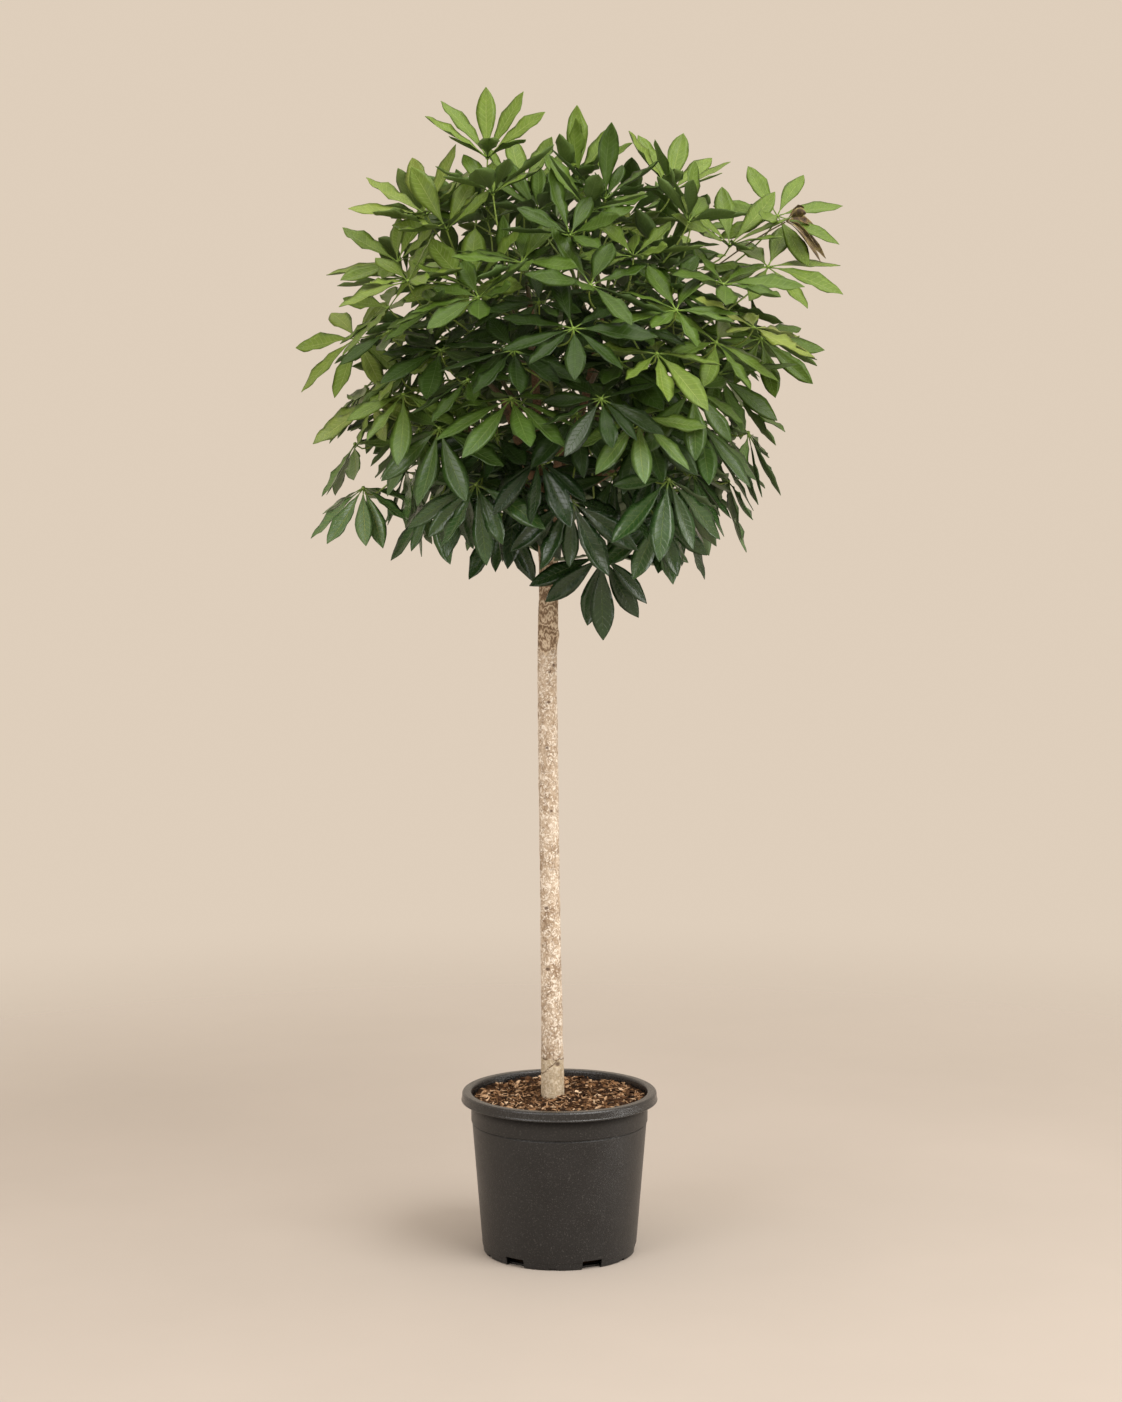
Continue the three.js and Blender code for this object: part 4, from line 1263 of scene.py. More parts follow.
def make_trunk():
    """Trunk and limbs are grown into one skin, which is then moved out and in by the bark's relief."""
    line, radii = smooth_line([p for p, _ in TRUNK_LINE], [r for _, r in TRUNK_LINE], TRUNK_STEP)
    points, faces = tube(line, radii, TRUNK_SIDES)
    shares = [i / LIMB_STEPS for i in range(LIMB_STEPS + 1)]
    for end in LIMB_ENDS:
        limb = [limb_point(Vector(end), share) for share in shares]
        limb_radii = [lerp(LIMB_ROOT_RADIUS, LIMB_END_RADIUS, share**LIMB_THINNING) for share in shares]
        more_points, more_faces = tube(limb, limb_radii, LIMB_SIDES)
        faces += [tuple(len(points) + c for c in face) for face in more_faces]
        points += more_points
    trunk = new_object("trunk_bark", mesh_from("trunk_bark", points, faces))
    skin = trunk.modifiers.new("one_skin", "REMESH")
    skin.mode, skin.voxel_size = "VOXEL", BARK_VOXEL
    smooth = trunk.modifiers.new("ease", "SMOOTH")
    smooth.factor, smooth.iterations = 0.5, 4
    trunk = plain_mesh(trunk, "trunk_bark")
    mesh = trunk.data
    moved = np.empty(len(mesh.vertices) * 3, np.float32)
    scars = np.empty(len(mesh.vertices), np.float32)
    for i, vertex in enumerate(mesh.vertices):
        relief, scars[i] = bark_relief(vertex.co, vertex.normal)
        moved[3 * i : 3 * i + 3] = vertex.co + vertex.normal * relief
    mesh.vertices.foreach_set("co", moved)
    mesh.attributes.new("scar", "FLOAT", "POINT").data.foreach_set("value", scars)
    mesh.update()
    mesh.shade_smooth()
    return give(trunk, ["trunk"], bark())


# ------------------------------------------------------------------ leaflets


def leaflet_forms():
    """What makes each leaflet form its own: how broad, folded, curled, wavy, twisted and bent aside it is."""
    draw = random_source(FORM_SEED)
    return [
        {
            "broad": lerp(0.80, 1.05, draw()),
            "fold": lerp(0.16, 0.66, draw()),
            "curl": lerp(-0.04, 0.20, draw()),
            "wave": lerp(0.008, 0.034, draw()),
            "wave_start": 2 * math.pi * draw(),
            "twist": math.radians(lerp(-28, 28, draw())),
            "aside": lerp(-0.08, 0.08, draw()),
        }
        for _ in range(LEAFLET_FORMS)
    ]


FORMS = leaflet_forms()
KNOB_FORM = LEAFLET_FORMS


def blade_point(form, s, half, t, lift=0.0):
    """A point of a leaflet form: s along it, t across from -1 to 1, in leaflet lengths."""
    width = half * form["broad"] * LEAFLET_WIDTH / LEAFLET_LENGTH / 2
    y = width * t
    z = lift + form["fold"] * abs(y) - form["fold"] * width
    z += form["wave"] * math.sin(form["wave_start"] + MARGIN_WAVE * s) * t * t * half
    turn = form["twist"] * s
    y, z = y * math.cos(turn) - z * math.sin(turn), y * math.sin(turn) + z * math.cos(turn)
    x = s - CURL_SHORTENS * form["curl"] ** 2 * s**3
    return Vector((x, y + form["aside"] * s * s, z - form["curl"] * s * s))


def give_values(mesh, name, values, kind="FLOAT", domain="POINT"):
    """Stores one value for each point or face of a mesh."""
    mesh.attributes.new(name, kind, domain).data.foreach_set("value", values)


def leaflet_mesh(index):
    """One closed leaflet, two-sided and thickest at the midrib, with its stalk."""
    form = FORMS[index]
    thickness = LEAFLET_THICKNESS / LEAFLET_LENGTH
    points, along, across, faces, under = [], [], [], [], []
    for s, half in LEAFLET_OUTLINE:
        depth = thickness * (0.5 + STALK_THICKENING * max(0.0, 1 - s / LEAFLET_STALK_SHARE))
        for side, columns in ((1, LEAFLET_COLUMNS), (-1, LEAFLET_COLUMNS[1:-1])):
            for t in columns:
                lift = side * depth * (1 - MARGIN_THINNING * abs(t)) * (abs(t) < 1)
                points.append(blade_point(form, s, half, t, lift) * LEAFLET_LENGTH)
                along.append(s)
                across.append(t)
    # a ring of points has the upper face's first, and then those of the under side that aren't on the margin
    top, bottom = [0, 1, 2, 3, 4], [0, 5, 6, 7, 4]
    ring = 8
    for i in range(len(LEAFLET_OUTLINE) - 1):
        a, b = ring * i, ring * (i + 1)
        for k in range(4):
            faces.append((a + top[k], b + top[k], b + top[k + 1], a + top[k + 1]))
            faces.append((a + bottom[k], a + bottom[k + 1], b + bottom[k + 1], b + bottom[k]))
            under += [0.0, 1.0]
    end = ring * (len(LEAFLET_OUTLINE) - 1)
    faces += [(*top, 7, 6, 5), tuple(end + k for k in (*bottom, 3, 2, 1))]
    under += [0.0, 0.0]
    mesh = mesh_from(f"leaflet_{index:02d}", points, faces)
    give_values(mesh, "along", along)
    give_values(mesh, "across", across)
    give_values(mesh, "under", under, domain="FACE")
    return mesh


def knob_mesh():
    """The small swelling where the leaflets meet the petiole."""
    bm = bmesh.new()
    bmesh.ops.create_icosphere(bm, subdivisions=1, radius=HUB_KNOB_RADIUS)
    mesh = bpy.data.meshes.new(f"leaflet_{KNOB_FORM:02d}_knob")
    bm.to_mesh(mesh)
    bm.free()
    mesh.shade_smooth()
    give_values(mesh, "along", [0.0] * len(mesh.vertices))
    give_values(mesh, "across", [1.0] * len(mesh.vertices))
    give_values(mesh, "under", [0.0] * len(mesh.polygons), domain="FACE")
    return mesh


def foliage_tree():
    """Tubes along the stems and petioles, and a leaflet on each anchor, bent down by its weight."""
    tree, given, out = new_tree(
        "foliage",
        ("Leaflets", "NodeSocketCollection"),
        ("Stalk sides", "NodeSocketInt"),
        ("Blade material", "NodeSocketMaterial"),
        ("Stalk material", "NodeSocketMaterial"),
    )
    stalks = result(
        tree,
        "GeometryNodeCurveToMesh",
        {
            "Curve": result(tree, "GeometryNodeMeshToCurve", {"Mesh": given["Geometry"]}),
            "Profile Curve": result(
                tree, "GeometryNodeCurvePrimitiveCircle", {"Resolution": given["Stalk sides"], "Radius": 1.0}
            ),
            "Scale": named(tree, "FLOAT", "thickness"),
            "Fill Caps": True,
        },
    )
    leaflets = result(
        tree,
        "GeometryNodeInstanceOnPoints",
        {
            "Points": given["Geometry"],
            "Selection": named(tree, "BOOLEAN", "anchor"),
            "Instance": forms_from(tree, given["Leaflets"]),
            "Pick Instance": True,
            "Instance Index": named(tree, "INT", "form"),
            "Rotation": named(tree, "QUATERNION", "aim"),
            "Scale": named(tree, "FLOAT", "size"),
        },
    )
    blades = result(tree, "GeometryNodeRealizeInstances", {"Geometry": leaflets})
    along = named(tree, "FLOAT", "along")
    fall = times(tree, times(tree, along, along), named(tree, "FLOAT", "fall"))
    down = result(tree, "ShaderNodeCombineXYZ", {"Z": times(tree, fall, -1.0)})
    bent = result(tree, "GeometryNodeSetPosition", {"Geometry": blades, "Offset": down})
    whole = joined(
        tree, faced(tree, bent, given["Blade material"]), faced(tree, stalks, given["Stalk material"])
    )
    tree.links.new(result(tree, "GeometryNodeSetShadeSmooth", {"Geometry": whole}), out["Geometry"])
    return tree


# ------------------------------------------------------------------ crown: what is already there


class CrownRoom:
    """Coarse closed shapes of what grows in the crown, to keep new growth clear of them."""

    def __init__(self):
        self.owners, self.trees = [], []
        self.low, self.high = np.empty((0, 3)), np.empty((0, 3))

    def add(self, owner, points, faces):
        corners = np.array([tuple(p) for p in points])
        self.owners.append(owner)
        self.trees.append(BVHTree.FromPolygons(points, faces))
        self.low = np.vstack([self.low, corners.min(0)])
        self.high = np.vstack([self.high, corners.max(0)])

    def drop_last(self, count):
        """Takes back the shapes that were added last."""
        kept = len(self.owners) - count
        self.owners, self.trees = self.owners[:kept], self.trees[:kept]
        self.low, self.high = self.low[:kept], self.high[:kept]

    def crossed_by(self, points, faces, ignore):
        corners = np.array([tuple(p) for p in points])
        near = np.flatnonzero(
            (self.low <= corners.max(0)).all(1) & (self.high >= corners.min(0)).all(1)
        )
        shape = None
        for i in near:
            if ignore(self.owners[i]):
                continue
            shape = shape or BVHTree.FromPolygons(points, faces)
            if shape.overlap(self.trees[i]):
                return True
        return False


# ------------------------------------------------------------------ crown: shoots


def bulges(direction, sizes):
    """Sideways bulges tried in turn on a stem or petiole that would cross another."""
    across = square_to(direction)
    yield Vector((0, 0, 0))
    for size in sizes:
        for turn in range(0, 360, 60):
            yield Matrix.Rotation(math.radians(turn), 3, direction) @ across * size


def limb_root(end, back):
    """The point of a limb that is a given length short of its end."""
    line = [limb_point(end, i / LIMB_MARKS) for i in range(LIMB_MARKS + 1)]
    lengths = np.cumsum([0] + [(b - a).length for a, b in zip(line, line[1:])])
    wanted = max(lengths[-1] - back, LIMB_BARE_SHARE * lengths[-1])
    k = min(int(np.searchsorted(lengths, wanted)), LIMB_MARKS)
    share = (wanted - lengths[k - 1]) / (lengths[k] - lengths[k - 1])
    return line[k - 1].lerp(line[k], share)


def plan_shoots():
    """Shoot tips are spread evenly over the crown, and each shoot grows on the limb that ends nearest."""
    golden = math.pi * (3 - math.sqrt(5))
    ends = [Vector(end) for end in LIMB_ENDS]
    shoots = []
    for k in range(SHOOT_COUNT):
        z = 1 - ((k + 0.5) / SHOOT_COUNT) * (1 - SHOOT_LOWEST)
        flat = math.sqrt(1 - z * z)
        direction = Vector((flat * math.cos(golden * k), flat * math.sin(golden * k), z))
        tip = Vector([direction[i] * CROWN_REACH[i] * SHOOT_REACH + CROWN_CENTRE[i] for i in range(3)])
        limb = min(range(len(ends)), key=lambda i: (ends[i] - tip).length)
        shoots.append({"name": f"leafy_shoot_{k + 1:02d}", "tip": tip, "limb": limb, "leaves": []})
    for index, end in enumerate(ends):
        tangent = (end - limb_point(end, 0.999)).normalized()
        on_limb = [s for s in shoots if s["limb"] == index]
        on_limb.sort(key=lambda s: -(s["tip"] - end).normalized().dot(tangent))
        for rank, shoot in enumerate(on_limb):
            shoot["root"] = limb_root(end, rank * STEM_SPACING)
    return shoots


def stem_point(shoot, t):
    return quadratic(shoot["root"], shoot["bend"], shoot["tip"], t)


def grow_stem(shoot, room):
    span_to = shoot["tip"] - shoot["root"]
    middle = shoot["root"] + 0.5 * span_to - Vector((0, 0, STEM_SAG * span_to.length))
    steps, sides = COARSE_STEM

    def own(owner):
        return owner == f"limb {shoot['limb']}"

    for bulge in bulges(span_to.normalized(), STEM_BULGES):
        shoot["bend"] = middle + bulge
        line = [stem_point(shoot, i / steps) for i in range(steps + 1)]
        shape = tube(line, [STEM_ROOT_RADIUS + CLEARANCE] * len(line), sides)
        if not room.crossed_by(*shape, own):
            break
    room.add(shoot["name"], *shape)


# ------------------------------------------------------------------ crown: leaves


def leaf_hubs():
    """The full-size leaves' hubs, then those of the small leaves that fill in behind them."""
    hubs = [Vector(hub) * 0.001 for hub in PLACED_HUBS]
    scatter_hubs(hubs, SCATTER_SEED, SCATTER_TRIES, SCATTER_SPACING, (SCATTER_INNER, 1, SCATTER_LOWEST))
    full_size = len(hubs)
    scatter_hubs(hubs, FILL_SEED, FILL_TRIES, FILL_SPACING, (FILL_INNER, FILL_OUTER, FILL_LOWEST))
    return hubs[:full_size], hubs[full_size:]


def scatter_hubs(hubs, seed, tries, spacing, limits):
    """Adds hubs at random places of the crown, none nearer to another than the spacing."""
    inner, outer, lowest = limits
    draw = random_source(seed)
    for _ in range(tries):
        unit = Vector((2 * draw() - 1, 2 * draw() - 1, 2 * draw() - 1))
        if unit.length > outer or unit.length < inner or unit.z < lowest:
            continue
        hub = Vector([unit[i] * CROWN_REACH[i] + CROWN_CENTRE[i] for i in range(3)])
        if all((other - hub).length >= spacing for other in hubs):
            hubs.append(hub)


def leaf_tint(index, outward, height, young):
    """Leaves are deepest green inside the crown as painted shade, lighter outside and on top partly as
    younger growth and partly as painted light, with a painted sheen below and a painted glow on the left; a
    few young ones are lightest.
    """
    beside = min(1.0, math.hypot(outward.x, 0.6 * outward.y) / CROWN_REACH.x)
    left = max(0.0, -outward.x / CROWN_REACH.x)
    # painted light and shade: darker inside the crown, lighter towards the top and sides, a painted sheen
    # below and a painted backlight glow on the left
    tint = TINT_INSIDE_PAINTED_SHADE + max(TINT_ABOVE * height, -TINT_BELOW_PAINTED_SHEEN * height)
    tint += TINT_BESIDE * beside**2 + TINT_LEFT_PAINTED_GLOW * left + TINT_CHANCE * (young - 0.5)
    if young > YOUNG_FROM and height > YOUNG_LOWEST:
        tint += YOUNG_GAIN
    return LEAF_TINTS.get(index, max(0.02, min(0.95, tint)))


def plan_leaf(place, index):
    """How a leaf sits follows from its place: upright fans on top, umbrellas on the sides, tassels below."""
    draw = random_source(LEAF_SEED + index)

    def jitter(spread):
        return (2 * draw() - 1) * spread

    outward = place - CROWN_CENTRE
    height = max(-1.0, min(1.0, outward.z / CROWN_REACH.z))
    lean = FRONT_LEAN if 0 <= index < len(PLACED_HUBS) else 0
    heading = math.degrees(math.atan2(outward.y - lean, outward.x)) + jitter(HEADING_STRAYS)
    rise = min(value_at(height, RISE_BY_HEIGHT) + jitter(RISE_STRAYS), 90)
    cup = value_at(height, CUP_BY_HEIGHT) + jitter(CUP_STRAYS)
    phase = 360 * draw()
    droop = value_at(height, DROOP_BY_HEIGHT)
    length = 1000 * LEAFLET_LENGTH * (1 + jitter(LENGTH_STRAYS))
    right = up = 0
    heading, rise, cup, phase = POSED_LEAVES.get(index, (heading, rise, cup, phase))
    droop, length, right, up = POSED_HANG.get(index, (droop, length, right, up))
    if index < 0:
        heading, rise, cup, phase, droop, length, right, up = WITHERED_POSE
    heading, rise, cup, phase = (math.radians(angle) for angle in (heading, rise, cup, phase))
    more = draw()
    count = COMMON_COUNT
    if index not in FULL_FANS and more >= FEWER_FROM:
        count += 1 if more >= MORE_FROM else -1
    posed = index in POSED_LEAVES
    level = math.cos(rise)
    return {
        "hub": place + Vector((right, 0, up)) * 0.001,
        "axis": Vector((level * math.cos(heading), level * math.sin(heading), math.sin(rise))),
        "cup": cup,
        "droop": droop,
        "length": 0.001 * length,
        "phase": phase,
        "count": count,
        "tint": leaf_tint(index, outward, height, draw()),
        "spread": POSED_SPREAD if posed else NATURAL_SPREAD,
        "most_shrink": POSED_SHRINK if posed else NATURAL_SHRINK,
        "draw": draw,
    }


def leaflet_frame(leaf, azimuth, pitch=0.0, yaw=0.0, roll=0.0):
    """The direction, the side and the upper face of one leaflet, bent by its weight."""
    axis = leaf["axis"]
    u = square_to(axis)
    v = axis.cross(u)
    radial = u * math.cos(azimuth) + v * math.sin(azimuth)
    side = axis.cross(radial)
    along = radial * math.cos(leaf["cup"]) + axis * math.sin(leaf["cup"])
    along = (along - Vector((0, 0, leaf["droop"]))).normalized()
    across = (side - along * side.dot(along)).normalized()
    along = Matrix.Rotation(-pitch, 3, across) @ along
    normal = along.cross(across)
    turn = Matrix.Rotation(yaw, 3, normal)
    along, across = turn @ along, turn @ across
    turn = Matrix.Rotation(roll, 3, along)
    return along, turn @ across, turn @ normal


def leaflet_plate(leaf, leaflet, from_root):
    """A coarse closed plate round a leaflet, fatter than it by the clearance."""
    along, across, normal = leaflet["frame"]
    size = leaflet["size"]
    stations = ([PLATE_ROOT] if from_root else []) + PLATE_STATIONS
    points, faces = [], []
    for s, half in stations:
        for t in (-PLATE_BREADTH, 0, PLATE_BREADTH):
            for lift in (CLEARANCE, -CLEARANCE):
                local = blade_point(FORMS[leaflet["form"]], s, half, t) * LEAFLET_LENGTH * size
                point = leaf["hub"] + along * local.x + across * local.y + normal * (local.z + lift)
                points.append(point - Vector((0, 0, leaflet["fall"] * s * s)))
    for i in range(len(stations) - 1):
        a, b = 6 * i, 6 * (i + 1)
        for left, right in ((0, 2), (2, 4)):
            faces.append((a + left, b + left, b + right, a + right))
            faces.append((a + left + 1, a + right + 1, b + right + 1, b + left + 1))
        faces += [(a, a + 1, b + 1, b), (a + 4, b + 4, b + 5, a + 5)]
    faces += [(0, 2, 3, 1), (2, 4, 5, 3)]
    end = 6 * (len(stations) - 1)
    faces += [tuple(end + k for k in corners) for corners in ((0, 1, 3, 2), (2, 3, 5, 4))]
    return points, faces


def leaflet_azimuth(leaf, k):
    return leaf["phase"] + 2 * math.pi * k / leaf["count"]


def aimed_leaflet(leaf, azimuth, pitch, yaw, roll, form, shrink):
    """One leaflet of a leaf: its directions, size and fall under its weight."""
    directions = leaflet_frame(leaf, azimuth, *(math.radians(angle) for angle in (pitch, yaw, roll)))
    along = directions[0]
    petiole_side = (leaf["petiole"][-4] - leaf["hub"]).normalized()
    back = max(0.0, along.dot(petiole_side))
    size = leaf["length"] / LEAFLET_LENGTH * (1 - BACK_SHRINK * back - shrink)
    fall = LEAFLET_SAG * LEAFLET_LENGTH * size * math.hypot(along.x, along.y)
    return {"frame": directions, "form": form, "size": size, "fall": fall}


def spread_leaflets(leaf, room):
    """Each leaflet is bent until it clears what is in its way, or is left out."""
    draw = leaf["draw"]
    leaf["leaflets"] = []
    own_petiole, own_hub = f"{leaf['name']} petiole", f"{leaf['name']} hub"

    def own(owner):
        return owner in (own_petiole, own_hub, leaf["name"])

    def not_beside(owner):
        return owner not in (own_petiole, leaf["name"])

    for k in range(leaf["count"]):
        natural_pitch, natural_yaw, roll = ((2 * draw() - 1) * spread for spread in leaf["spread"])
        form = int(draw() * LEAFLET_FORMS)
        shrink = lerp(-LARGEST_GAIN, leaf["most_shrink"], draw() ** 1.5)
        for pitch, yaw in BENDS:
            leaflet = aimed_leaflet(
                leaf, leaflet_azimuth(leaf, k), pitch + natural_pitch, yaw + natural_yaw, roll, form, shrink
            )
            whole, outer = leaflet_plate(leaf, leaflet, True), leaflet_plate(leaf, leaflet, False)
            if not (room.crossed_by(*whole, own) or room.crossed_by(*outer, not_beside)):
                leaf["leaflets"].append(leaflet)
                room.add(leaf["name"], *whole)
                break


def grow_petiole(leaf, room, ignore):
    """A petiole arcs from its root on the stem to the under side of its hub."""
    face = Vector((0, 0, 0))
    for k in range(leaf["count"]):
        face += leaflet_frame(leaf, leaflet_azimuth(leaf, k))[2]
    face.normalize()
    end = leaf["hub"] - face * HUB_KNOB_RADIUS * 0.5
    root = leaf["root"]
    length = (end - root).length
    onward = (leaf["shoot"]["tip"] - leaf["shoot"]["bend"]).normalized()
    for bulge in bulges((end - root).normalized(), PETIOLE_BULGES):
        lower = root + onward * PETIOLE_RUN_ON * length + bulge
        upper = end - face * PETIOLE_ARCH * length + bulge
        leaf["petiole"] = [
            cubic(root, lower, upper, end, i / PETIOLE_STEPS) for i in range(PETIOLE_STEPS + 1)
        ]
        coarse = leaf["petiole"][::2]
        shape = tube(coarse, [PETIOLE_ROOT_RADIUS + CLEARANCE] * len(coarse), COARSE_PETIOLE_SIDES)
        cleared = not room.crossed_by(*shape, lambda owner: owner == f"{leaf['name']} hub" or ignore(owner))
        if cleared:
            break
    room.add(f"{leaf['name']} petiole", *shape)
    return cleared


def hub_ball(hub, radius=HUB_ROOM):
    """Eight faces round a hub, which keep its surroundings free."""
    steps = [Vector(d) for d in ((1, 0, 0), (0, 1, 0), (-1, 0, 0), (0, -1, 0), (0, 0, 1), (0, 0, -1))]
    points = [hub + step * radius for step in steps]
    faces = [(k, (k + 1) % 4, 4) for k in range(4)] + [((k + 1) % 4, k, 5) for k in range(4)]
    return points, faces


def plan_crown():
    """Every stem, petiole and leaflet of the crown, by shoot."""
    room = CrownRoom()
    line, radii = smooth_line([p for p, _ in TRUNK_LINE], [r for _, r in TRUNK_LINE], COARSE_TRUNK_STEP)
    room.add("trunk", *tube(line, [r + CLEARANCE for r in radii], COARSE_TRUNK_SIDES))
    steps, sides = COARSE_LIMB
    shares = [i / steps for i in range(steps + 1)]
    for index, end in enumerate(LIMB_ENDS):
        limb = [limb_point(Vector(end), share) for share in shares]
        limb_radii = [lerp(LIMB_ROOT_RADIUS, LIMB_END_RADIUS, share) + CLEARANCE for share in shares]
        room.add(f"limb {index}", *tube(limb, limb_radii, sides))
    shoots = plan_shoots()
    for shoot in shoots:
        grow_stem(shoot, room)
    leaves = []
    full_size, small = leaf_hubs()
    for index, place in enumerate(full_size):
        leaf = plan_leaf(place, index)
        leaf["shoot"] = min(shoots, key=lambda s: (s["tip"] - place).length)
        leaf["name"] = f"{leaf['shoot']['name']} leaf {index}"
        leaf["shoot"]["leaves"].append(leaf)
        leaves.append(leaf)
        room.add(f"{leaf['name']} hub", *hub_ball(leaf["hub"]))
    for shoot in shoots:
        own_leaves = shoot["leaves"]
        own_leaves.sort(key=lambda l: -(l["hub"] - shoot["root"]).length)
        for rank, leaf in enumerate(own_leaves):
            lower = PETIOLE_ROOT_SPREAD * rank / max(len(own_leaves), 2)
            leaf["root"] = stem_point(shoot, PETIOLE_HIGHEST_ROOT - lower)
            grow_petiole(
                leaf, room, lambda owner: owner.startswith(shoot["name"]) and not owner.endswith("hub")
            )
    withered = plan_withered(shoots, room)
    for leaf in leaves:
        spread_leaflets(leaf, room)
    for index, hub in enumerate(small, len(full_size)):
        add_small_leaf(hub, index, shoots, room)
    return shoots, withered


def add_small_leaf(hub, index, shoots, room):
    """A small leaf is kept where its petiole and at least half of its leaflets find room."""
    if room.crossed_by(*hub_ball(hub, FILL_ROOM), lambda owner: False):
        return
    leaf = plan_leaf(hub, index)
    shoot = min(shoots, key=lambda s: (s["tip"] - hub).length)
    root_at = lerp(*FILL_ROOTS, leaf["draw"]())
    leaf.update(shoot=shoot, name=f"{shoot['name']} small leaf {index}", root=stem_point(shoot, root_at))
    leaf["length"] *= FILL_LENGTH / LEAFLET_LENGTH
    # painted shade: the small leaves behind the others are darker
    leaf["tint"] *= FILL_PAINTED_SHADE
    before = len(room.owners)
    cleared = grow_petiole(leaf, room, lambda owner: owner == shoot["name"])
    spread_leaflets(leaf, room)
    if cleared and len(leaf["leaflets"]) >= leaf["count"] / 2:
        shoot["leaves"].append(leaf)
    else:
        room.drop_last(len(room.owners) - before)


# ------------------------------------------------------------------ crown: pieces


def new_growth():
    """The lines and the leaflet anchors of one shoot, before they are a mesh."""
    return {"points": [], "thickness": [], "age": [], "edges": [], "anchors": []}


def add_line(growth, points, radii, ages):
    """Adds a stem or petiole whose radius and age go from the first to the second of their pair."""
    start = len(growth["points"])
    steps = len(points) - 1
    growth["points"] += points
    growth["thickness"] += [lerp(*radii, i / steps) for i in range(steps + 1)]
    growth["age"] += [lerp(*ages, i / steps) for i in range(steps + 1)]
    growth["edges"] += [(start + i, start + i + 1) for i in range(steps)]


def add_anchor(growth, place, directions, size, form, fall, tint):
    turn = Matrix(directions).transposed().to_quaternion()
    growth["anchors"].append((place, turn, size, form, fall, tint))


def growth_piece(name, growth):
    """A mesh of stem and petiole lines with the leaflets' anchors as loose points."""
    anchors = growth["anchors"]
    points = growth["points"] + [anchor[0] for anchor in anchors]
    mesh = bpy.data.meshes.new(name)
    mesh.from_pydata([tuple(p) for p in points], growth["edges"], [])

    def of_anchors(column, blank):
        return [blank] * len(growth["points"]) + [anchor[column] for anchor in anchors]

    for label in ("thickness", "age"):
        give_values(mesh, label, growth[label] + [0.0] * len(anchors))
    for label, column in (("size", 2), ("fall", 4), ("tint", 5)):
        give_values(mesh, label, of_anchors(column, 0.0))
    give_values(mesh, "anchor", [False] * len(growth["points"]) + [True] * len(anchors), "BOOLEAN")
    give_values(mesh, "form", of_anchors(3, 0), "INT")
    give_values(mesh, "aim", [x for turn in of_anchors(1, Quaternion()) for x in turn], "QUATERNION")
    return new_object(name, mesh)


def add_leaf(growth, leaf):
    add_line(growth, leaf["petiole"], (PETIOLE_ROOT_RADIUS, PETIOLE_TIP_RADIUS), PETIOLE_AGES)
    hub, axis, tint, draw = leaf["hub"], leaf["axis"], leaf["tint"], leaf["draw"]
    for leaflet in leaf["leaflets"]:
        own_tint = max(0.0, min(1.0, tint + (2 * draw() - 1) * LEAFLET_TINT_STRAYS))
        size, form, fall = leaflet["size"], leaflet["form"], leaflet["fall"]
        add_anchor(growth, hub, leaflet["frame"], size, form, fall, own_tint)
    u = square_to(axis)
    add_anchor(growth, hub, (u, axis.cross(u), axis), 1.0, KNOB_FORM, 0.0, tint)


def make_crown():
    shoots, withered = plan_crown()
    forms = forms_collection("leaflet_forms", [*(leaflet_mesh(i) for i in range(LEAFLET_FORMS)), knob_mesh()])
    tree = foliage_tree()
    blade, stalk = leaf_blade(), leaf_stalk()
    for shoot in shoots:
        growth = new_growth()
        line = [stem_point(shoot, i / STEM_STEPS) for i in range(STEM_STEPS + 1)]
        add_line(growth, line, (STEM_ROOT_RADIUS, STEM_TIP_RADIUS), STEM_AGES)
        for leaf in shoot["leaves"]:
            add_leaf(growth, leaf)
        piece = grow_foliage(growth, f"{shoot['name']}_foliage", tree, forms, blade, stalk)
        give(piece, [shoot["name"]])
    make_withered(withered, tree, forms, stalk)
    drop_forms(forms)


def plan_withered(shoots, room):
    """The dried leaf hangs from the live shoot nearest to it."""
    shoot = min(shoots, key=lambda s: (s["tip"] - WITHERED_HUB).length)
    leaf = plan_leaf(WITHERED_HUB, -1)
    root = stem_point(shoot, WITHERED_ROOT_AT)
    leaf.update(shoot=shoot, root=root, name="withered_leaf", count=WITHERED_COUNT)
    grow_petiole(leaf, room, lambda owner: owner == shoot["name"])
    return leaf


def grow_foliage(growth, name, tree, forms, blade, stalk):
    """A finished piece of leaflets and stalks from its lines and anchors."""
    return grow(
        growth_piece(name, growth),
        tree,
        Leaflets=forms,
        Stalk_sides=STALK_SIDES,
        Blade_material=blade,
        Stalk_material=stalk,
    )


def make_withered(leaf, tree, forms, stalk):
    growth = new_growth()
    add_line(growth, leaf["petiole"], (PETIOLE_TIP_RADIUS, PETIOLE_TIP_RADIUS), (WITHERED_AGE, WITHERED_AGE))
    draw = leaf["draw"]
    for k in range(leaf["count"]):
        pitch = math.radians(WITHERED_PITCH * draw())
        yaw = math.radians(WITHERED_YAW * (2 * draw() - 1))
        directions = leaflet_frame(leaf, leaflet_azimuth(leaf, k), pitch, yaw)
        size = leaf["length"] / LEAFLET_LENGTH * lerp(*WITHERED_SIZES, draw())
        add_anchor(growth, leaf["hub"], directions, size, int(draw() * LEAFLET_FORMS), WITHERED_CURL, 0.5)
    piece = grow_foliage(growth, "withered_leaf_curled", tree, forms, dried_leaf(), stalk)
    give(piece, ["withered_leaf"])


# ------------------------------------------------------------------ camera, floor and light

PHOTO_HEIGHT = 1402
FOCAL_PIXELS = 2631
SENSOR = 36.0
CAMERA_PLACE = (0.0025, -4.12, 1.2285)
CAMERA_PITCH = 4.85
STUDIO_COLOUR = (0.735, 0.620, 0.500, 1)
FLOOR_FADE = (1.0, 3.2)
FLOOR_SIDES = 96
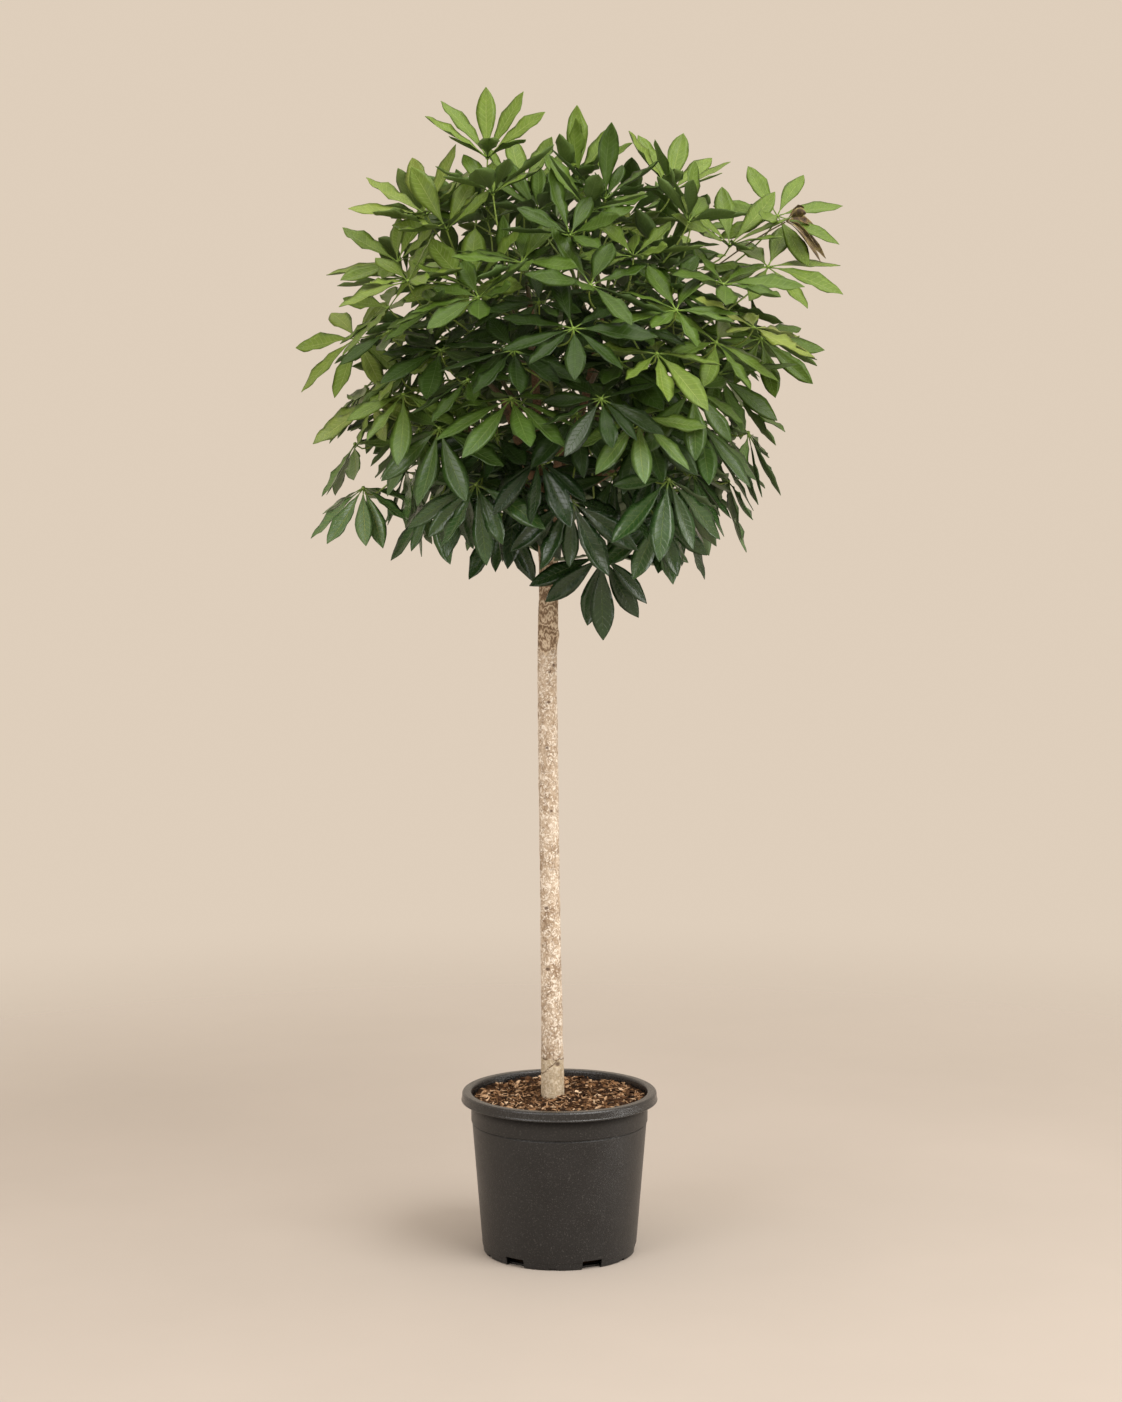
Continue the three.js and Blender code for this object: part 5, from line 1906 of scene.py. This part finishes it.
# soft lights: place, what they point at, width, power and colour
LIGHTS = {
    "key": ((2.6, -2.4, 4.0), (0, 0, 1.0), 3.6, 168, (1.0, 0.98, 0.95)),
    "overhead": ((0.3, -0.4, 4.2), (0, 0, 1.0), 4.6, 92, (1.0, 0.99, 0.97)),
    "fill": ((-2.6, -3.2, 2.8), (0, 0, 1.3), 2.6, 62, (0.98, 0.98, 1.0)),
    "side": ((3.2, -0.6, 0.38), (0, 0, 0.25), 0.8, 15, (1.0, 0.99, 0.97)),
}


def make_camera():
    data = bpy.data.cameras.new("camera")
    data.sensor_width = SENSOR
    data.lens = SENSOR * FOCAL_PIXELS / PHOTO_HEIGHT
    camera = bpy.data.objects.new("camera", data)
    camera.location = CAMERA_PLACE
    camera.rotation_euler = (math.radians(90 - CAMERA_PITCH), 0, 0)
    bpy.context.scene.collection.objects.link(camera)
    bpy.context.scene.camera = camera


def make_floor():
    turns = [2 * math.pi * k / FLOOR_SIDES for k in range(FLOOR_SIDES)]
    points = [Vector((math.cos(turn), math.sin(turn), 0)) * FLOOR_FADE[1] for turn in turns]
    floor = new_object("floor", mesh_from("floor", points, [tuple(range(FLOOR_SIDES))]))
    floor.data.materials.append(floor_finish())


def add_area_light(name, place, target, width, power, colour):
    data = bpy.data.lights.new(name, "AREA")
    data.shape = "DISK"
    data.size = width
    data.energy = power
    data.color = colour
    light = bpy.data.objects.new(name, data)
    light.location = place
    light.rotation_mode = "QUATERNION"
    light.rotation_quaternion = (Vector(target) - Vector(place)).to_track_quat("-Z", "Y")
    bpy.context.scene.collection.objects.link(light)


def make_light():
    world = bpy.data.worlds.new("studio")
    world.use_nodes = True
    background = world.node_tree.nodes["Background"].inputs
    background["Color"].default_value = STUDIO_COLOUR
    background["Strength"].default_value = 1.0
    bpy.context.scene.world = world
    for name, light in LIGHTS.items():
        add_area_light(name, *light)
    bpy.context.scene.view_settings.view_transform = "Standard"


# ------------------------------------------------------------------ the plant

make_camera()
make_pot()
make_mix()
make_trunk()
make_crown()
make_floor()
make_light()
